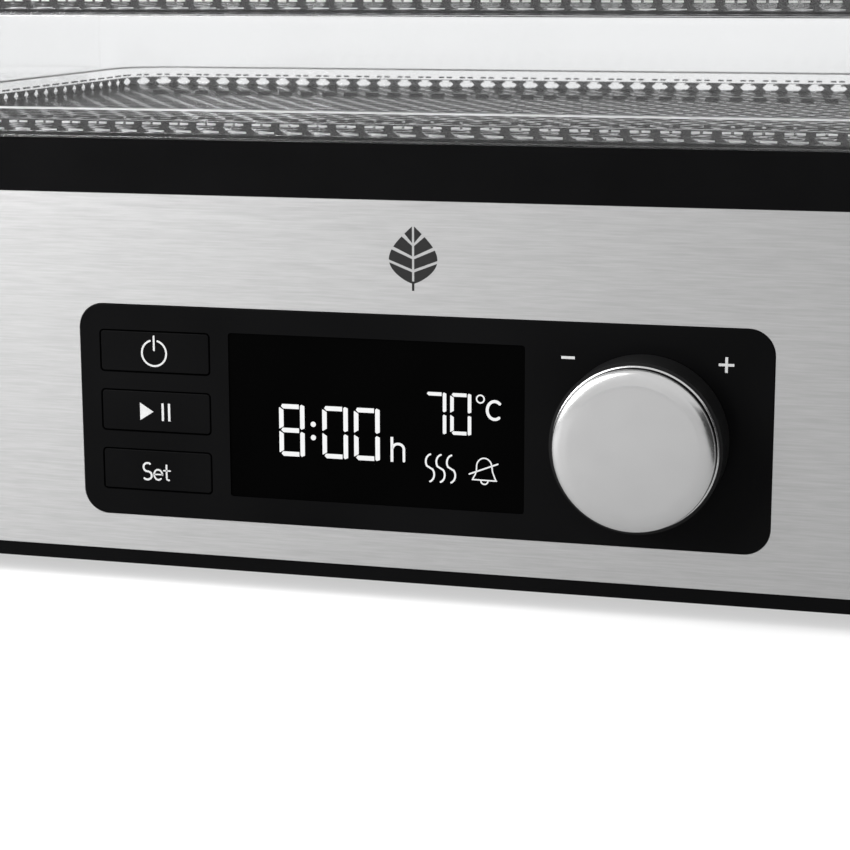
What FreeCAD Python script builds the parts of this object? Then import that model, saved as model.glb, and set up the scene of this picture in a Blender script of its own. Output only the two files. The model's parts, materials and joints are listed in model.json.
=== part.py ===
"""Food dehydrator: heated fan base with a steel band, control fascia, five stacking trays and a lid.

Frame: millimetres, +Z up, front of the object towards -Y, +X to the right as seen from the front.
The origin is under the middle of the whole object, on the surface that its feet stand on.
"""
import FreeCAD
import Part
import math
import os

os.makedirs("parts", exist_ok=True)
Vec = FreeCAD.Vector

# ---------------------------------------------------------------- driving dimensions
BODY_W = 255.0
BODY_D = 172.0
CORNER_R = 18.0
FRONT_Y = -80.0
BACK_Y = FRONT_Y + BODY_D
MID_Y = (FRONT_Y + BACK_Y) / 2

FOOT_H = 4.0
PAN_T = 2.8
BAND_H = 67.8
DECK_H = 10.0
PAN_TOP = FOOT_H + PAN_T
DECK_Z = PAN_TOP + BAND_H
STACK_Z = DECK_Z + DECK_H

STEEL_T = 0.8
FRAME_T = 2.4
SLIP = 0.1

TRAY_COUNT = 5
TRAY_PITCH = 22.4
TRAY_INSET = 0.5
TRAY_WALL = 2.2
TRAY_FLOOR = 1.8
LIP_H = 2.2
LIP_T = 1.6
LIP_GAP = 0.4
SLOT_COLUMNS = 10
SLOT_ROWS = 10
SLOT_L = 18.0
SLOT_W = 5.0
LID_WALL_H = 8.0
LID_TOP_T = 2.4
LID_RISE = 2.6
LID_PAD_W = 150.0
LID_PAD_D = 92.0
LID_PAD_WALL = 2.4
VENT_PITCH = 9.6
VENT_W = 2.6
VENT_HALF_L = 28.0

PANEL_W = 130.0
PANEL_H = 40.4
PANEL_R = 4.8
PANEL_Z = 33.85
PANEL_PROUD = 0.2
PANEL_BACK = FRONT_Y + STEEL_T + FRAME_T
FLANGE_T = 1.4
FLANGE_EDGE = 2.0
BOARD_SCREW_X = (-33.5, 28.0)
BOARD_SCREW_RISE = 17.5

KEY_W = 22.0
KEY_H = 8.1
KEY_R = 0.9
KEY_X = -50.0
KEY_PITCH = 11.3
KEY_GAP = 0.3
KEY_TRAVEL = 0.8

WINDOW_W = 56.1
WINDOW_H = 30.9
WINDOW_X = -7.4
WINDOW_Z = PANEL_Z + 0.1
WINDOW_SINK = 0.3
WINDOW_T = 1.2
WINDOW_LEDGE = 2.0

KNOB_X = 42.3
KNOB_Z = PANEL_Z - 0.1
KNOB_R = 15.2
KNOB_CAP_R = 14.4
KNOB_OUT = 12.9
KNOB_CAP_T = 1.35
KNOB_NECK_R = 13.0
KNOB_NECK_T = 1.9
KNOB_WALL = 1.6
KNOB_GAP = 0.6
SPIGOT_R = 11.0
DISH_DEPTH = 0.35
DISH_R = 180.0
ENCODER_HALF = 6.2
ENCODER_BUSH_R = 3.5
ENCODER_SHAFT_R = 3.0
ENCODER_FLAT_Z = KNOB_Z + 2.2
ENCODER_TIP_Y = FRONT_Y - KNOB_OUT + 3.8

BOARD_T = 1.6
BOARD_Y = FRONT_Y + 10.5

FAN_Y = MID_Y
SHROUD_R = 46.0
SHROUD_T = 2.5
SHROUD_TOP = DECK_Z + 2.8
FAN_BLADES = 7
MOTOR_R = 14.0
MOTOR_Z = 14.0
MOTOR_H = 20.0
SHAFT_R = 1.5
BEARING_R = 3.5
BEARING_H = 5.0
IMPELLER_LOW = 40.0
IMPELLER_TOP = 51.0
HUB_R = 10.0
BLADE_TIP_R = 42.5
BLADE_CHORD = 16.0
BLADE_T = 1.4
BLADE_TILT_DEG = 32.0
MOTOR_SCREW_R = 8.0
HEATER_Z = 63.0
MICA_T = 1.0
MICA_HALF_H = 5.0
LEAD_HOLE_R = 4.5
PROBE_HOLE_R = 2.2
PROBE_Z = HEATER_Z + 10.0
PROBE_R = 2.0
COIL_RADII = (16.0, 26.0, 36.0)
COIL_WIRE_R = 1.2

GRILLE_SIZE = 98.0
GRILLE_R = 10.0
GRILLE_T = 1.6
GRILLE_PITCH = 6.0
GRILLE_SLOT_W = 3.0
DECK_PLATE_T = 3.0
DECK_PLATE_TOP = STACK_Z - 4.0

SCREW_R = 1.5
SCREW_HEAD_R = 3.0
SCREW_HEAD_H = 1.7
SCREW_CLEAR = 0.05
CROSS_HALF_L = 1.8
CROSS_HALF_W = 0.4
CROSS_DEEP = 0.8

CORNER_SCREW = (116.5, 74.5)
DECK_SCREW = (60.0, 77.0)
FOOT_SPOT = (104.0, 58.0)
FOOT_R = 7.0
FOOT_SPIGOT_R = 2.9
SHROUD_SCREW_R = 52.0

POWER_X0 = 52.0
POWER_X1 = 116.0
POWER_Y0 = -34.0
POWER_Y1 = 66.0
POWER_Z = 14.0

GLAND_X = 90.0
GLAND_Z = 24.0
GLAND_BORE_R = 3.6
GLAND_R = 7.0


# ---------------------------------------------------------------- shape helpers
def box(x0, y0, z0, x1, y1, z1):
    """Solid box between two corners."""
    return Part.makeBox(x1 - x0, y1 - y0, z1 - z0, Vec(x0, y0, z0))


def rod_z(radius, z0, z1, x=0.0, y=0.0):
    """Upright cylinder."""
    return Part.makeCylinder(radius, z1 - z0, Vec(x, y, z0), Vec(0, 0, 1))


def rod_y(radius, y0, y1, x=0.0, z=0.0):
    """Cylinder that runs front to back."""
    return Part.makeCylinder(radius, y1 - y0, Vec(x, y0, z), Vec(0, 1, 0))


def rod_x(radius, x0, x1, y=0.0, z=0.0):
    """Cylinder that runs left to right."""
    return Part.makeCylinder(radius, x1 - x0, Vec(x0, y, z), Vec(1, 0, 0))


def slab(width, depth, radius, z0, z1, x=0.0, y=MID_Y):
    """Upright prism on a rectangle with round corners."""
    solid = box(x - width / 2, y - depth / 2, z0, x + width / 2, y + depth / 2, z1)
    edges = [e for e in solid.Edges if abs(e.tangentAt(e.FirstParameter).z) > 0.99]
    return solid.makeFillet(radius, edges)


def ring(width, depth, radius, wall, z0, z1):
    """Upright rounded rectangular tube with a constant wall."""
    inner = slab(width - 2 * wall, depth - 2 * wall, max(radius - wall, 0.5), z0 - 1, z1 + 1)
    return slab(width, depth, radius, z0, z1).cut(inner)


def face_slab(width, height, radius, y0, y1, x, z):
    """Prism that runs front to back on a rectangle with round corners."""
    solid = box(x - width / 2, y0, z - height / 2, x + width / 2, y1, z + height / 2)
    edges = [e for e in solid.Edges if abs(e.tangentAt(e.FirstParameter).y) > 0.99]
    return solid.makeFillet(radius, edges)


def fuse(shapes):
    """One solid from overlapping shapes."""
    first = shapes[0]
    if len(shapes) == 1:
        return first
    return first.fuse(shapes[1:]).removeSplitter()


def cut(shape, tools):
    """Shape with every tool taken away."""
    return shape.cut(tools)


def mirrored_spots(spot):
    """The four places that are symmetric about the middle of the body."""
    return [(sx * spot[0], MID_Y + sy * spot[1]) for sx in (-1, 1) for sy in (-1, 1)]


def circle_spots(count, radius, start_deg):
    """Places on a circle about the fan axis."""
    spots = []
    for i in range(count):
        angle = math.radians(start_deg + 360.0 * i / count)
        spots.append((radius * math.cos(angle), FAN_Y + radius * math.sin(angle)))
    return spots


def screw_z(x, y, seat_z, length, head_up):
    """Pan-head screw; its head stands on seat_z and its shank runs away from the head."""
    if head_up:
        head = rod_z(SCREW_HEAD_R, seat_z, seat_z + SCREW_HEAD_H, x, y)
        shank = rod_z(SCREW_R, seat_z - length, seat_z, x, y)
        slot_z = seat_z + SCREW_HEAD_H - CROSS_DEEP
    else:
        head = rod_z(SCREW_HEAD_R, seat_z - SCREW_HEAD_H, seat_z, x, y)
        shank = rod_z(SCREW_R, seat_z, seat_z + length, x, y)
        slot_z = seat_z - SCREW_HEAD_H
    slot_top = slot_z + CROSS_DEEP
    bar_x = box(x - CROSS_HALF_L, y - CROSS_HALF_W, slot_z, x + CROSS_HALF_L, y + CROSS_HALF_W, slot_top)
    bar_y = box(x - CROSS_HALF_W, y - CROSS_HALF_L, slot_z, x + CROSS_HALF_W, y + CROSS_HALF_L, slot_top)
    return cut(fuse([head, shank]), [bar_x, bar_y])


def lead(points, radius):
    """Round wire along straight runs that are joined by tangent arcs."""
    path = [Vec(*p) for p in points]
    edges = []
    start = path[0]
    for i in range(1, len(path) - 1):
        to_corner = path[i] - path[i - 1]
        from_corner = path[i + 1] - path[i]
        shorter = min(to_corner.Length, from_corner.Length)
        half_turn = to_corner.getAngle(from_corner) / 2
        d_in = to_corner.normalize()
        d_out = from_corner.normalize()
        reach = 0.45 * shorter
        bend = reach / math.tan(half_turn)
        towards = (d_out - d_in).normalize()
        centre = path[i] + towards * (bend / math.cos(half_turn))
        arc_start = path[i] - d_in * reach
        arc_end = path[i] + d_out * reach
        edges.append(Part.LineSegment(start, arc_start).toShape())
        edges.append(Part.Arc(arc_start, centre - towards * bend, arc_end).toShape())
        start = arc_end
    edges.append(Part.LineSegment(start, path[-1]).toShape())
    direction = (path[1] - path[0]).normalize()
    profile = Part.Wire([Part.Circle(path[0], direction, radius).toShape()])
    return Part.Wire(edges).makePipeShell([profile], True, True)


def save(name, shape):
    """Write one node, as a compound where it holds several separate solids."""
    solids = shape.Solids
    whole = solids[0] if len(solids) == 1 else Part.makeCompound(solids)
    whole.exportStep("parts/" + name + ".step")


# ---------------------------------------------------------------- outer shells of the base
def make_bottom_pan():
    """Floor of the base with its air intake, foot holes, locating ribs and posts."""
    pan = slab(BODY_W - 0.6, BODY_D - 0.6, CORNER_R - 0.3, FOOT_H, PAN_TOP)
    rib_x = BODY_W / 2 - STEEL_T - FRAME_T - 0.3
    rib_y = BODY_D / 2 - STEEL_T - FRAME_T - 0.3
    ribs = []
    for side in (-1, 1):
        y0, y1 = sorted((MID_Y + side * rib_y, MID_Y + side * (rib_y - 2)))
        x0, x1 = sorted((side * rib_x, side * (rib_x - 2)))
        ribs.append(box(-35, y0, PAN_TOP - 0.5, 35, y1, PAN_TOP + 4))
        ribs.append(box(x0, MID_Y - 55, PAN_TOP - 0.5, x1, MID_Y + 55, PAN_TOP + 4))
    posts = [rod_z(3.0, PAN_TOP - 0.5, POWER_Z, x, y) for x, y in power_post_spots()]
    pan = fuse([pan] + ribs + posts)
    holes = [rod_z(FOOT_SPIGOT_R + 0.1, FOOT_H - 1, PAN_TOP + 1, x, y) for x, y in mirrored_spots(FOOT_SPOT)]
    for x, y in mirrored_spots(CORNER_SCREW):
        holes.append(rod_z(SCREW_R + SCREW_CLEAR, FOOT_H - 1, PAN_TOP + 1, x, y))
        holes.append(rod_z(SCREW_HEAD_R + 0.3, FOOT_H - 1, FOOT_H + SCREW_HEAD_H, x, y))
    for x, y in circle_spots(4, SHROUD_SCREW_R, 45):
        holes.append(rod_z(SCREW_R + SCREW_CLEAR, PAN_TOP - 1.9, PAN_TOP + 1, x, y))
    for x, y in power_post_spots():
        holes.append(rod_z(SCREW_R + SCREW_CLEAR, PAN_TOP, POWER_Z + 1, x, y))
    return cut(pan, holes + intake_slots())


def intake_slots():
    """Parallel slots under the fan, trimmed to a circle, with a bar left across the middle."""
    slots = []
    reach = SHROUD_R - 6
    for i in range(-6, 7):
        x = i * 6.0
        half = math.sqrt(reach * reach - x * x)
        slots.append(box(x - 1.6, FAN_Y + 2.5, FOOT_H - 1, x + 1.6, FAN_Y + half, PAN_TOP + 1))
        slots.append(box(x - 1.6, FAN_Y - half, FOOT_H - 1, x + 1.6, FAN_Y - 2.5, PAN_TOP + 1))
    return slots


def make_rubber_feet():
    """Four soft feet, each with a spigot that is pushed into the pan."""
    feet = []
    for x, y in mirrored_spots(FOOT_SPOT):
        pad = rod_z(FOOT_R, 0, FOOT_H, x, y)
        rim = [e for e in pad.Edges if abs(e.BoundBox.ZMax) < 0.01]
        pad = pad.makeFillet(0.8, rim)
        feet.append(fuse([pad, rod_z(FOOT_SPIGOT_R, FOOT_H - 1, PAN_TOP - 0.2, x, y)]))
    return Part.makeCompound(feet)


def make_inner_frame():
    """Plastic carrier inside the steel band: four walls, corner pillars, lugs and snap hooks."""
    outer_w = BODY_W - 2 * STEEL_T
    outer_d = BODY_D - 2 * STEEL_T
    outer_r = CORNER_R - STEEL_T
    walls = ring(outer_w, outer_d, outer_r, FRAME_T, PAN_TOP, DECK_Z)
    envelope = slab(outer_w, outer_d, outer_r, PAN_TOP, DECK_Z - 5)
    shapes = [walls]
    for sx in (-1, 1):
        for sy in (-1, 1):
            x0, x1 = sorted((sx * 110, sx * BODY_W / 2))
            y0, y1 = sorted((MID_Y + sy * 68, MID_Y + sy * BODY_D / 2))
            shapes.append(envelope.common(box(x0, y0, PAN_TOP, x1, y1, DECK_Z - 5)))
    for x, y in mirrored_spots(DECK_SCREW):
        side = 1 if y > MID_Y else -1
        y0, y1 = sorted((MID_Y + side * 72.8, MID_Y + side * (outer_d / 2 - 1)))
        shapes.append(box(x - 5, y0, 60, x + 5, y1, 66))
    for x in (-45, 45):
        shapes.append(snap_hook(x, 1))
        shapes.append(snap_hook(x, -1))
    frame = fuse(shapes)
    holes = [face_slab(PANEL_W, PANEL_H, PANEL_R, FRONT_Y - 1, PANEL_BACK + 0.01, 0, PANEL_Z)]
    holes.append(rod_y(GLAND_R + SLIP, BACK_Y - 6, BACK_Y + 1, GLAND_X, GLAND_Z))
    for x, y in mirrored_spots(CORNER_SCREW):
        holes.append(rod_z(SCREW_R + SCREW_CLEAR, PAN_TOP - 1, PAN_TOP + 14, x, y))
    for x, y in mirrored_spots(DECK_SCREW):
        holes.append(rod_z(SCREW_R + SCREW_CLEAR, 59, 67, x, y))
    return cut(frame, holes)


def snap_hook(x, side):
    """Hook on the front wall that holds the edge of the fascia flange."""
    edge = PANEL_Z + side * (PANEL_H / 2 + FLANGE_EDGE)
    nose_y = PANEL_BACK + FLANGE_T
    z0, z1 = sorted((edge + side * SLIP, edge + side * 1.8))
    arm = box(x - 4, PANEL_BACK - 1, z0, x + 4, nose_y + 1.4, z1)
    z0, z1 = sorted((edge - side * 1.0, edge + side * 1.8))
    nose = box(x - 4, nose_y + 0.02, z0, x + 4, nose_y + 1.4, z1)
    return arm.fuse(nose)


def make_steel_band():
    """Wrapped brushed steel sleeve with the fascia window and the gland hole."""
    band = ring(BODY_W, BODY_D, CORNER_R, STEEL_T, PAN_TOP, DECK_Z)
    window = face_slab(PANEL_W, PANEL_H, PANEL_R, FRONT_Y - 1, FRONT_Y + 2, 0, PANEL_Z)
    outlet = rod_y(GLAND_R + SLIP, BACK_Y - 2, BACK_Y + 1, GLAND_X, GLAND_Z)
    return cut(band, [window, outlet])


def make_top_deck():
    """Black upper deck: visible band, recessed floor for the trays, spigot and screw bosses."""
    solid = slab(BODY_W, BODY_D, CORNER_R, DECK_Z, STACK_Z)
    well_w = BODY_W - 2 * TRAY_INSET - 2 * TRAY_WALL
    well_d = BODY_D - 2 * TRAY_INSET - 2 * TRAY_WALL
    well = slab(well_w, well_d, CORNER_R - TRAY_INSET - TRAY_WALL, DECK_PLATE_TOP, STACK_Z + 1)
    under = slab(BODY_W - 12, BODY_D - 12, CORNER_R - 6, DECK_Z - 1, DECK_PLATE_TOP - DECK_PLATE_T)
    deck = cut(solid, [well, under])
    inner_w = BODY_W - 2 * (STEEL_T + FRAME_T)
    inner_d = BODY_D - 2 * (STEEL_T + FRAME_T)
    spigot = ring(inner_w - 0.4, inner_d - 0.4, CORNER_R - 3.4, 2.0, DECK_Z - 4.6, DECK_Z + 0.5)
    plate_low = DECK_PLATE_TOP - DECK_PLATE_T
    bosses = [rod_z(4.5, 66, plate_low + 0.5, x, y) for x, y in mirrored_spots(DECK_SCREW)]
    deck = fuse([deck, spigot] + bosses)
    pocket_size = GRILLE_SIZE + 0.4
    opening_size = GRILLE_SIZE - 6
    pocket = slab(pocket_size, pocket_size, GRILLE_R, DECK_PLATE_TOP - GRILLE_T, STACK_Z, 0, FAN_Y)
    opening = slab(opening_size, opening_size, GRILLE_R - 2, plate_low - 1, STACK_Z, 0, FAN_Y)
    pilots = [rod_z(SCREW_R + SCREW_CLEAR, 65, 73, x, y) for x, y in mirrored_spots(DECK_SCREW)]
    return cut(deck, [pocket, opening] + pilots)


def make_outlet_grille():
    """Slotted grille through which the warm air rises into the trays."""
    grille = slab(GRILLE_SIZE, GRILLE_SIZE, GRILLE_R, DECK_PLATE_TOP - GRILLE_T, DECK_PLATE_TOP, 0, FAN_Y)
    slots = []
    for i in range(-7, 8):
        for side in (-1, 1):
            y0, y1 = sorted((FAN_Y + side * 2, FAN_Y + side * 43))
            x = i * GRILLE_PITCH
            slots.append(box(x - GRILLE_SLOT_W / 2, y0, DECK_Z, x + GRILLE_SLOT_W / 2, y1, STACK_Z))
    return cut(grille, slots)


# ---------------------------------------------------------------- control panel
def key_heights():
    """Z of the three keys, from the top one down."""
    return [PANEL_Z + KEY_PITCH * i for i in (1, 0, -1)]


def make_control_fascia():
    """Gloss black panel with its rear flange, key openings, window pocket and board bosses."""
    front = FRONT_Y - PANEL_PROUD
    back = PANEL_BACK + FLANGE_T
    plate = face_slab(PANEL_W - 0.2, PANEL_H - 0.2, PANEL_R - 0.1, front, back, 0, PANEL_Z)
    rim = [e for e in plate.Edges if abs(e.BoundBox.YMax - front) < 0.01]
    plate = plate.makeFillet(0.18, rim)
    flange_w = PANEL_W + 2 * FLANGE_EDGE
    flange_h = PANEL_H + 2 * FLANGE_EDGE
    flange = face_slab(flange_w, flange_h, PANEL_R, PANEL_BACK, back, 0, PANEL_Z)
    bosses = [rod_y(3.0, back - 0.5, BOARD_Y, x, z) for x, z in board_screw_spots()]
    fascia = fuse([plate, flange] + bosses)
    holes = []
    for z in key_heights():
        holes.append(face_slab(KEY_W, KEY_H, KEY_R, front - 1, back + 1, KEY_X, z))
    pocket_y = FRONT_Y - PANEL_PROUD + WINDOW_SINK + WINDOW_T
    holes.append(face_slab(WINDOW_W, WINDOW_H, 0.6, front - 1, pocket_y, WINDOW_X, WINDOW_Z))
    hole_w = WINDOW_W - 2 * WINDOW_LEDGE
    hole_h = WINDOW_H - 2 * WINDOW_LEDGE
    holes.append(face_slab(hole_w, hole_h, 0.6, front - 1, back + 1, WINDOW_X, WINDOW_Z))
    holes.append(rod_y(ENCODER_BUSH_R + 0.1, front - 1, back + 1, KNOB_X, KNOB_Z))
    for x, z in board_screw_spots():
        holes.append(rod_y(SCREW_R + SCREW_CLEAR, back + 0.4, BOARD_Y + 1, x, z))
    return cut(fascia, holes)


def board_screw_spots():
    """Screws that hold the control board to the fascia."""
    return [(x, PANEL_Z + side * BOARD_SCREW_RISE) for x in BOARD_SCREW_X for side in (-1, 1)]


def make_display_window():
    """Clear dark window in its pocket."""
    y0 = FRONT_Y - PANEL_PROUD + WINDOW_SINK
    return face_slab(WINDOW_W - 0.2, WINDOW_H - 0.2, 0.5, y0, y0 + WINDOW_T, WINDOW_X, WINDOW_Z)


def make_display_gasket():
    """Foam frame between the window and the display module."""
    y0 = FRONT_Y - PANEL_PROUD + WINDOW_SINK + WINDOW_T
    outer = face_slab(WINDOW_W - 2 * WINDOW_LEDGE - 0.2, WINDOW_H - 2 * WINDOW_LEDGE - 0.2, 0.5,
                      y0, y0 + 1.0, WINDOW_X, WINDOW_Z)
    inner = face_slab(WINDOW_W - 2 * WINDOW_LEDGE - 3, WINDOW_H - 2 * WINDOW_LEDGE - 3, 0.5,
                      y0 - 1, y0 + 2, WINDOW_X, WINDOW_Z)
    return outer.cut(inner)


def make_display_module():
    """Segment display that stands on the control board."""
    y0 = FRONT_Y - PANEL_PROUD + WINDOW_SINK + WINDOW_T + 1.0
    glass = box(WINDOW_X - 25, y0, WINDOW_Z - 12, WINDOW_X + 25, BOARD_Y - 1.5, WINDOW_Z + 12)
    feet = []
    for sx in (-22, 22):
        for sz in (-10, 10):
            feet.append(rod_y(1.2, BOARD_Y - 2, BOARD_Y, WINDOW_X + sx, WINDOW_Z + sz))
    return fuse([glass] + feet)


def make_control_board():
    """Upright circuit board behind the fascia."""
    board = face_slab(118, 40, 1.0, BOARD_Y, BOARD_Y + BOARD_T, 0, PANEL_Z)
    holes = []
    for x, z in board_screw_spots():
        holes.append(rod_y(SCREW_R + SCREW_CLEAR, BOARD_Y - 1, BOARD_Y + BOARD_T + 1, x, z))
    return cut(board, holes)


def make_tact_switches():
    """Three push switches, one behind each key."""
    switches = []
    rest = PANEL_BACK + FLANGE_T + 0.1 + 0.8
    tip = rest + KEY_TRAVEL + 0.05
    for z in key_heights():
        case = box(KEY_X - 3, tip + 0.7, z - 3, KEY_X + 3, BOARD_Y, z + 3)
        plunger = rod_y(1.7, tip, tip + 1.2, KEY_X, z)
        switches.append(case.fuse(plunger))
    return Part.makeCompound(switches)


def make_key(z):
    """Key cap that passes through the fascia, with a wider stop flange behind it."""
    front = FRONT_Y - PANEL_PROUD
    back = PANEL_BACK + FLANGE_T + 0.1
    cap = face_slab(KEY_W - 2 * KEY_GAP, KEY_H - 2 * KEY_GAP, KEY_R - KEY_GAP, front, back + 0.4, KEY_X, z)
    rim = [e for e in cap.Edges if abs(e.BoundBox.YMax - front) < 0.01]
    cap = cap.makeFillet(0.15, rim)
    stop = face_slab(KEY_W + 1.2, KEY_H + 1.2, KEY_R, back, back + 0.8, KEY_X, z)
    return fuse([cap, stop])


def make_encoder_body():
    """Rotary encoder case with its threaded bush."""
    front = PANEL_BACK + FLANGE_T
    half = ENCODER_HALF
    case = box(KNOB_X - half, front + 0.1, KNOB_Z - half, KNOB_X + half, BOARD_Y, KNOB_Z + half)
    bush = rod_y(ENCODER_BUSH_R, FRONT_Y - 3.0, front + 1, KNOB_X, KNOB_Z)
    bore = rod_y(ENCODER_SHAFT_R + 0.05, FRONT_Y - 4.0, BOARD_Y - 2.4, KNOB_X, KNOB_Z)
    return fuse([case, bush]).cut(bore)


def make_encoder_shaft():
    """Encoder spindle with a flat on its front half."""
    spindle = rod_y(ENCODER_SHAFT_R, ENCODER_TIP_Y, BOARD_Y - 2.6, KNOB_X, KNOB_Z)
    flat = box(KNOB_X - 4, ENCODER_TIP_Y - 1, ENCODER_FLAT_Z, KNOB_X + 4, FRONT_Y - 3.2, KNOB_Z + 4)
    return spindle.cut(flat)


def make_encoder_nut():
    """Thin hexagon nut that clamps the encoder to the fascia."""
    front = FRONT_Y - PANEL_PROUD
    corners = []
    for i in range(7):
        angle = math.radians(60 * i)
        corners.append(Vec(KNOB_X + 5.6 * math.cos(angle), front - 2.0, KNOB_Z + 5.6 * math.sin(angle)))
    hexagon = Part.Face(Part.makePolygon(corners)).extrude(Vec(0, 2.0, 0))
    return hexagon.cut(rod_y(ENCODER_BUSH_R + 0.05, front - 3, front + 1, KNOB_X, KNOB_Z))


def make_knob_body():
    """Black drum of the knob: a neck behind the face, a hollow skirt, a hub and grip ribs inside."""
    back = FRONT_Y - PANEL_PROUD - KNOB_GAP
    web = FRONT_Y - KNOB_OUT + KNOB_CAP_T
    drum = rod_y(KNOB_R, web, back, KNOB_X, KNOB_Z)
    rim = [e for e in drum.Edges if abs(e.BoundBox.YMin - back) < 0.01]
    drum = drum.makeFillet(0.5, rim)
    slab = rod_y(KNOB_R + 1, web - 1, web + KNOB_NECK_T, KNOB_X, KNOB_Z)
    groove = slab.cut(rod_y(KNOB_NECK_R, web - 2, web + KNOB_NECK_T + 1, KNOB_X, KNOB_Z))
    hollow = rod_y(KNOB_R - KNOB_WALL, web + KNOB_NECK_T + 1.2, back + 1, KNOB_X, KNOB_Z)
    hub = rod_y(5.2, web + 1, FRONT_Y - 3.4, KNOB_X, KNOB_Z)
    ribs = []
    for i in range(3):
        rib = box(KNOB_X - 0.7, web + 2.5, KNOB_Z + 4, KNOB_X + 0.7, web + 7, KNOB_Z + KNOB_R - 1)
        ribs.append(rib.rotate(Vec(KNOB_X, 0, KNOB_Z), Vec(0, 1, 0), 60 + 120 * i))
    knob = fuse([drum.cut([hollow, groove]), hub] + ribs)
    bore = rod_y(ENCODER_SHAFT_R, ENCODER_TIP_Y, back + 1, KNOB_X, KNOB_Z)
    key_flat = box(KNOB_X - 4, ENCODER_TIP_Y - 1, ENCODER_FLAT_Z, KNOB_X + 4, FRONT_Y - 3.4, KNOB_Z + 4)
    recess = rod_y(SPIGOT_R + 0.05, web - 1, web + 0.8, KNOB_X, KNOB_Z)
    return knob.cut([bore.cut(key_flat), recess])


def make_knob_cap():
    """Satin metal face of the knob, slightly dished, with a rounded rim."""
    front = FRONT_Y - KNOB_OUT
    back = front + KNOB_CAP_T
    disc = rod_y(KNOB_CAP_R, front, back, KNOB_X, KNOB_Z)
    rim = [e for e in disc.Edges if abs(e.BoundBox.YMax - front) < 0.01]
    disc = disc.makeFillet(0.9, rim)
    spigot = rod_y(SPIGOT_R, back - 0.5, back + 0.75, KNOB_X, KNOB_Z)
    dish = Part.makeSphere(DISH_R, Vec(KNOB_X, front + DISH_DEPTH - DISH_R, KNOB_Z))
    return fuse([disc, spigot]).cut(dish)


def make_board_screws():
    """Four screws that hold the control board."""
    seat = BOARD_Y + BOARD_T
    screws = []
    for x, z in board_screw_spots():
        head = rod_y(SCREW_HEAD_R, seat, seat + SCREW_HEAD_H, x, z)
        shank = rod_y(SCREW_R, seat - 6.0, seat, x, z)
        slot = box(x - 2, seat + SCREW_HEAD_H - 0.8, z - 0.4, x + 2, seat + SCREW_HEAD_H, z + 0.4)
        screws.append(head.fuse(shank).cut(slot))
    return Part.makeCompound(screws)


# ---------------------------------------------------------------- fan and heater
def make_fan_shroud():
    """Tube that leads the air from the intake to the outlet, with a foot flange and motor lugs."""
    outer = SHROUD_R + SHROUD_T
    tube = rod_z(outer, PAN_TOP, SHROUD_TOP, 0, FAN_Y)
    flange = rod_z(outer + 7, PAN_TOP, PAN_TOP + 2.5, 0, FAN_Y)
    bore = rod_z(SHROUD_R, PAN_TOP - 1, SHROUD_TOP + 1, 0, FAN_Y)
    lugs = [rod_z(4.0, PAN_TOP + 1, MOTOR_Z - 2, x, y) for x, y in circle_spots(3, SHROUD_R - 3, 90)]
    shroud = fuse([fuse([tube, flange]).cut(bore)] + lugs)
    holes = []
    for x, y in circle_spots(4, SHROUD_SCREW_R, 45):
        holes.append(rod_z(SCREW_R + SCREW_CLEAR, PAN_TOP - 1, PAN_TOP + 3, x, y))
    for x, y in circle_spots(3, SHROUD_R - 5, 90):
        holes.append(rod_z(SCREW_R + SCREW_CLEAR, PAN_TOP, MOTOR_Z, x, y))
    holes.append(rod_x(LEAD_HOLE_R, SHROUD_R - 3, outer + 2, FAN_Y, HEATER_Z))
    holes.append(rod_x(PROBE_HOLE_R, -outer - 2, -SHROUD_R + 3, FAN_Y, PROBE_Z))
    holes.append(rod_x(3.0, SHROUD_R - 3, outer + 2, FAN_Y - 12, MOTOR_Z + 10))
    return cut(shroud, holes)


def make_heat_shield():
    """Aluminium liner that keeps the heater's radiation off the plastic shroud."""
    low = HEATER_Z - 9
    high = SHROUD_TOP - 1
    liner = rod_z(SHROUD_R - 0.1, low, high, 0, FAN_Y)
    bore = rod_z(SHROUD_R - 0.9, low - 1, high + 1, 0, FAN_Y)
    lead_hole = rod_x(LEAD_HOLE_R, SHROUD_R - 3, SHROUD_R + 2, FAN_Y, HEATER_Z)
    probe_hole = rod_x(PROBE_HOLE_R, -SHROUD_R - 2, -SHROUD_R + 3, FAN_Y, PROBE_Z)
    return liner.cut([bore, lead_hole, probe_hole])


def make_motor_bracket():
    """Three-armed steel plate that carries the motor across the intake."""
    top = MOTOR_Z
    low = MOTOR_Z - 2
    shapes = [rod_z(MOTOR_R, low, top, 0, FAN_Y)]
    for i in range(3):
        arm = box(0, FAN_Y - 4, low, SHROUD_R - 1.2, FAN_Y + 4, top)
        shapes.append(arm.rotate(Vec(0, FAN_Y, 0), Vec(0, 0, 1), 90 + 120 * i))
    spots = circle_spots(3, SHROUD_R - 5, 90) + circle_spots(2, MOTOR_SCREW_R, 0)
    holes = [rod_z(SCREW_R + SCREW_CLEAR, low - 1, top + 1, x, y) for x, y in spots]
    return cut(fuse(shapes), holes)


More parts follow.
